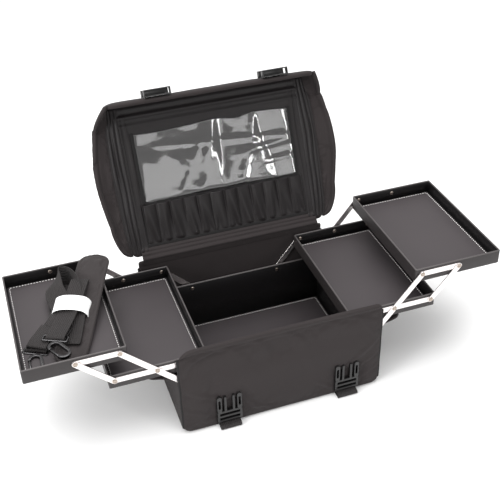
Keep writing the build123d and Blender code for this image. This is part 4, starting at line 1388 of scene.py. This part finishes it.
def lined_box(name, body, walls_node, floor_node, side_axis):
    """Leatherette walls with a rolled rim, a padded floor inside them and its row of stitches.

    The wall's thickness is how far the walls stand out past the floor along side_axis.
    """
    low, high = box_of(walls_node)
    floor_high = box_of(floor_node)[1]
    wall, floor_top = high[side_axis] - floor_high[side_axis], floor_high[2]
    foot, top, turn = low[2], high[2], wall / 2
    angle = np.linspace(math.pi, 0, 9)
    outside = [(0.6 * MM, foot), (0.15 * MM, foot + 0.15 * MM), (0, foot + 0.6 * MM), (0, top - turn)]
    rim = [(turn + turn * math.cos(way), top - turn + turn * math.sin(way)) for way in angle]
    inside = [(wall, top - turn), (wall, top - turn - 1.2 * MM), (wall + 0.25 * MM, top - turn - 1.6 * MM),
              (wall + 0.25 * MM, floor_top - 1 * MM), (wall, floor_top - 1 * MM)]
    under = [(wall, floor_top - 1 * MM), (wall, foot), (0.6 * MM, foot)]
    # The rim row takes the rim colour, a painted highlight where light catches the rolled rim.
    grids = [ring(low, high, rows, 3 * MM) for rows in (outside, rim, inside, under)]
    # Outside and under take the copy painted lighter as lit, inside takes the copy painted darker as shade.
    walls = mesh_piece(f"{name}_wall_cover", grids,
                       ["outer leatherette painted as lit", "inner leatherette with painted shade", "rim leatherette with painted highlight"], [0, 2, 1, 0])
    put(walls, body, "leatherette", walls_node)
    # The floor node takes the copy painted darker as shade.
    frame["nodes"][floor_node].data.materials.clear()
    frame["nodes"][floor_node].data.materials.append(material_of("inner leatherette with painted shade"))

    gap = 2.2 * MM
    half = (high[:2] - low[:2]) / 2 - wall - gap
    middle = (low[:2] + high[:2]) / 2
    track = straight((middle[0], middle[1] - half[1], floor_top),
                     (middle[0], middle[1] + half[1], floor_top), (1, 0, 0))

    def face(a, t, edge):
        return 1.0 * MM - 0.45 * MM * ridge(edge, STITCH_INSET, 1.6 * MM) + 0.25 * MM * fall(edge, 30 * MM)

    pad = plate(track, spread(-half[0], half[0], 40, 1.2 * MM, 4), spread(0, track.length, 50, 1.2 * MM, 4),
                (2 * MM,) * 4, 1.2 * MM, face, even(0.4 * MM))
    put(mesh_piece(f"{name}_floor_pad", pad, "floor leatherette"), body, "floor_lining")

    loop = rounded_loop(half[0] - STITCH_INSET, half[1] - STITCH_INSET, 1 * MM) + middle
    line = np.column_stack([loop, np.full(len(loop), floor_top + 0.85 * MM)])
    rows = stitches([line], (0, 0, 1))
    put(mesh_piece(f"{name}_floor_stitches", rows, "sewing thread"), body, "floor_lining")


class CASE_OT_box(bpy.types.Operator):
    """Inner box with its padded, stitched floor"""
    bl_idname = "case.box"
    bl_label = "Inner box"

    def execute(self, context):
        lined_box("inner_box", "root", "inner_box_walls", "inner_box_floor", 0)
        return {"FINISHED"}


class CASE_OT_trays(bpy.types.Operator):
    """Four cantilever trays"""
    bl_idname = "case.trays"
    bl_label = "Trays"

    def execute(self, context):
        for _, word in SIDES:
            for level in LEVELS:
                name = f"{word}_{level}_tray"
                lined_box(name, name, f"{name}_walls", f"{name}_floor", 1)
        return {"FINISHED"}


# radius, and depth from the rivet's inner end and from its outer end, in millimetres
RIVET_DOME = ((0, 0), (1.4, 0.1), (2.6, 0.4), (3.6, 0.9), (4.1, 1.35), (4.2, 1.5), (1.9, 1.5))
RIVET_EYELET = ((1.9, 0.7), (4.1, 0.7), (4.4, 0.5), (4.3, 0.2), (3.8, 0), (3.2, 0.02), (2.5, 0.35),
                (2.1, 0.9), (0.9, 0.7), (0, 0.65))


def rivet_places(word):
    """Pivot places, as X and Z, that each set of rivets sits at."""
    places = {"base_rivets": [pivot_of(f"{word}_trays_swing"), pivot_of(f"{word}_lower_short_arm_pivot")]}
    for level in LEVELS:
        low, high = box_of(f"{word}_{level}_tray_bars")
        z = (low[2] + high[2]) / 2
        ends = [np.array([low[0] + ARM_WIDTH / 2, 0, z]), np.array([high[0] - ARM_WIDTH / 2, 0, z])]
        extra = [pivot_of(f"{word}_lower_tray_pivot")] if level == "lower" else []
        places[f"{level}_tray_rivets"] = ends + extra
    return places


class CASE_OT_linkage(bpy.types.Operator):
    """Bars, arms and rivets of the tray linkage"""
    bl_idname = "case.linkage"
    bl_label = "Linkage"

    def execute(self, context):
        for _, word in SIDES:
            links = {f"{word}_{level}_tray_bars": f"{word}_{level}_tray" for level in LEVELS}
            for arm in ("long_arms", "lower_short_arms", "upper_short_arms"):
                links[f"{word}_{arm}"] = f"{word}_{arm}"
            for source, body in links.items():
                made = softened(f"{source}_finished", source, "satin aluminium", 0.45 * MM)
                put(made, body, "aluminium_bar", source)
            for rivets, places in rivet_places(word).items():
                self.rivets(word, rivets, places)
        washers = softened("pivot_washers_finished", "pivot_washers", "nickel rivet", 0.3 * MM)
        put(washers, "root", "steel_rivet", "pivot_washers")
        return {"FINISHED"}

    def rivets(self, word, rivets, places):
        """Tubular rivets: domed head inside the wall, shank, and a rolled eyelet head outside."""
        source = f"{word}_{rivets}"
        reach = box_of(source)[1][1]
        inner = min(abs(vertices_of(source)[:, 1]))
        dome = [(radius * MM, inner + depth * MM) for radius, depth in RIVET_DOME]
        eyelet = [(radius * MM, reach - depth * MM) for radius, depth in RIVET_EYELET]
        grids = []
        for place in places:
            for way in (-1, 1):
                grids.append(revolved(dome + eyelet, (place[0], 0, place[2]), way))
        body = "root" if rivets == "base_rivets" else f"{word}_{rivets[:-7]}"
        put(mesh_piece(f"{source}_finished", grids, "nickel rivet"), body, "steel_rivet", source)


# ---- packed shoulder strap ----

BUNDLE_EDGE = float(box_of("left_upper_tray_walls")[1][0])
BUNDLE_FLOOR = float(box_of("left_upper_tray_floor")[1][2]) + 1.0 * MM


def in_tray(points):
    """From millimetres out from the tray's inner edge, in depth and above its floor, to the case's frame."""
    points = np.asarray(points, float) * MM
    return np.stack([BUNDLE_EDGE - points[..., 0], points[..., 1], BUNDLE_FLOOR + points[..., 2]], -1)


def in_tray_way(way):
    way = np.asarray(way, float)
    return np.stack([-way[..., 0], way[..., 1], way[..., 2]], -1)


def folded_webbing(points, leans, half):
    """Webbing through chosen points of the tray, with its width along a chosen direction at each."""
    leans = leans * len(points) if len(leans) == 1 else leans
    return webbing_grids(Track(smooth_line(in_tray(points)), smooth_line(in_tray_way(leans))), half)


PAD_HALF = 28 * MM
PAD_LINE = [(-1, 119, 34), (6, 101, 35.5), (18, 72, 32.5), (36, 28, 24), (56, -22, 15), (76, -72, 7.5),
            (94, -117, 5)]
PAD_WAY = (-0.93, -0.37, 0)

# points, leans and half width of a leaning open loop, a folded strap on the pad and the layers under the band
STRAP_LAYERS = (
    ([(80, -2, 28), (83, 18, 27.5), (86, 42, 27), (85, 66, 26.5), (78, 86, 25.5), (67, 93, 24.5),
      (56, 86, 24), (51, 66, 24), (54, 42, 25), (62, 18, 28), (69, 2, 30)],
     [(0.90, 0.43, -0.10), (0.87, 0.40, -0.28), (0.82, 0.30, -0.46), (0.76, 0.18, -0.60),
      (0.50, -0.02, -0.86), (0.15, -0.20, -0.97), (0.20, 0.05, -0.98), (0.35, 0.10, -0.93),
      (0.60, 0.25, -0.75), (0.85, 0.38, -0.30), (0.90, 0.43, -0.10)], STRAP_HALF),
    ([(64, -2, 27.5), (52, 26, 31), (43, 46, 33.2), (39, 54, 34.6), (39.5, 53, 36.6), (44, 44, 36.4),
      (53, 24, 34.2), (64, 0, 30.5)], [(0.9, 0.42, -0.06)], 16 * MM),
    ([(88, -8, 19), (84, 14, 18), (78, 40, 14), (70, 66, 9), (62, 84, 7), (56, 78, 10), (60, 50, 15),
      (70, 10, 21)], [(0.9, 0.4, -0.2)], STRAP_HALF),
    ([(86, -14, 12), (84, 10, 11), (80, 36, 7), (74, 58, 3)], [(0.9, 0.42, -0.1)], STRAP_HALF))

# webbing ends that leave the band, turn round their rings and lie back on themselves
STRAP_ENDS = (
    ([(80, -4, 29), (90, -22, 25), (105, -38, 18), (121, -49, 10.5), (131, -58, 7.5), (137, -66, 5.5),
      (139, -69, 2.6), (135, -62, 1.6), (122, -50, 4)],
     [(0.86, 0.48, -0.12)] * 3 + [(0.88, 0.47, -0.08)] * 6, 18.5 * MM),
    ([(134, -63, 7), (137, -68, 10), (131, -60, 14), (119, -48, 17.5), (108, -38, 21)], [(0.88, 0.47, -0.1)],
     17.5 * MM),
    ([(70, -10, 30), (79, -28, 28), (90, -46, 25.5), (99, -60, 24), (104, -68, 22.5), (105, -70, 19.5),
      (100, -62, 18), (88, -44, 17)], [(0.88, 0.46, -0.08)], 16.5 * MM),
    ([(56, -4, 25.5), (61, -28, 21), (69, -52, 16.4), (77, -75, 13), (80, -82, 12.4)], [(0.92, 0.37, -0.05)],
     13 * MM))

BAND_ARCH = [(37, -13, 15), (39, -12.5, 24), (46, -10, 31.5), (58, -6.5, 35.4), (70, -2.5, 36.6),
             (82, 2, 35.4), (92, 5.5, 30), (97, 7, 17)]
BAND_WAY = (0.36, -0.92, -0.12)
BAND_HALF = 17 * MM
PAPER_HALF = 0.3 * MM


class CASE_OT_bundle(bpy.types.Operator):
    """Shoulder strap packed in the left upper tray: pad, folded webbing, paper band, rings and hooks"""
    bl_idname = "case.bundle"
    bl_label = "Packed strap"

    def execute(self, context):
        self.pad()
        self.webbing("folded_strap_webbing", STRAP_LAYERS, "strap_webbing")
        self.webbing("strap_webbing_ends", STRAP_ENDS, "strap_tails")
        self.band()
        for source in ("strap_rings", "outer_snap_hook", "inner_snap_hook"):
            made = softened(f"{source}_finished", source, "black metal", 0.9 * MM, 3)
            put(made, "left_upper_tray", "black_metal", source)
        for name in ("outer", "inner"):
            source = f"{name}_hook_gate"
            made = softened(f"{source}_finished", source, "black metal", 0.7 * MM)
            put(made, source, "black_metal", source)
        return {"FINISHED"}

    def pad(self):
        """The pad sags between the tray floor at its front end and the tray's rim near its back end."""
        middle = smooth_line(in_tray(PAD_LINE))
        track = Track(middle, in_tray_way(PAD_WAY))

        def face(a, t, edge):
            puff = 1.6 * MM * fall(edge, 20 * MM) - 0.9 * MM * ridge(edge, 6.5 * MM, 1.5 * MM)
            return 2.6 * MM + puff + 0.25 * MM * ripple(a, t, 40 * MM, 61)

        across, along = spread(-PAD_HALF, PAD_HALF, 34, ROUNDING), spread(0, track.length, 110, ROUNDING)
        grids = plate(track, across, along, (27.5 * MM,) * 4, ROUNDING, face,
                      lambda a, t, edge: face(a, t, edge) * 0.75)
        piece = mesh_piece("shoulder_pad_cover", grids, "pad cloth")

        def held(points):
            offset = (points[:, :2] - middle[:, :2].mean(0)) @ np.array([0.93, -0.37])
            return smooth_step(np.abs(offset), PAD_HALF - 9 * MM, PAD_HALF - 3 * MM)

        puffed(piece, 2.5, 2.0 * MM, held)
        put(piece, "left_upper_tray", "nylon_fabric", "shoulder_pad")

    def webbing(self, name, layers, source):
        grids = [grid for layer in layers for grid in folded_webbing(*layer)]
        put(mesh_piece(name, grids, "ribbed webbing"), "left_upper_tray", "webbing", source)

    def band(self):
        """Paper carried over the heap: its height follows a rounded arch across the webbing."""
        track = Track(smooth_line(in_tray(BAND_ARCH)), in_tray_way(BAND_WAY))
        grids = plate(track, spread(-BAND_HALF, BAND_HALF, 12, PAPER_HALF, 2),
                      spread(0, track.length, 70, PAPER_HALF, 2), (0.5 * MM,) * 4, PAPER_HALF,
                      even(PAPER_HALF), even(PAPER_HALF))
        put(mesh_piece("paper_band_sleeve", grids, "band paper"), "left_upper_tray", "paper", "paper_band")


# ---- panel and run ----

OPERATORS = (CASE_OT_stage, CASE_OT_body, CASE_OT_hinge_band, CASE_OT_edge_tape, CASE_OT_flaps,
             CASE_OT_lid_shell, CASE_OT_wings, CASE_OT_lining, CASE_OT_clear_pocket, CASE_OT_brush_slots,
             CASE_OT_straps, CASE_OT_buckles, CASE_OT_box, CASE_OT_trays, CASE_OT_linkage, CASE_OT_bundle)


class CASE_PT_panel(bpy.types.Panel):
    """Sizes, colours and makers of the train case"""
    bl_idname = "CASE_PT_panel"
    bl_label = "Train case"
    bl_space_type = "VIEW_3D"
    bl_region_type = "UI"
    bl_category = "Train case"

    def draw(self, context):
        for group in (context.scene.case_sizes, context.scene.case_colours):
            column = self.layout.column(align=True)
            for name in group.__annotations__:
                column.prop(group, name)
        column = self.layout.column(align=True)
        for maker in OPERATORS:
            column.operator(maker.bl_idname)


CLASSES = (CaseSizes, CaseColours, *OPERATORS, CASE_PT_panel)


def register():
    for each in CLASSES:
        bpy.utils.register_class(each)
    bpy.types.Scene.case_sizes = PointerProperty(type=CaseSizes)
    bpy.types.Scene.case_colours = PointerProperty(type=CaseColours)


def unregister():
    del bpy.types.Scene.case_colours
    del bpy.types.Scene.case_sizes
    for each in reversed(CLASSES):
        bpy.utils.unregister_class(each)


def main():
    register()
    for maker in OPERATORS:
        group, name = maker.bl_idname.split(".")
        getattr(getattr(bpy.ops, group), name)()


if __name__ == "__main__":
    main()
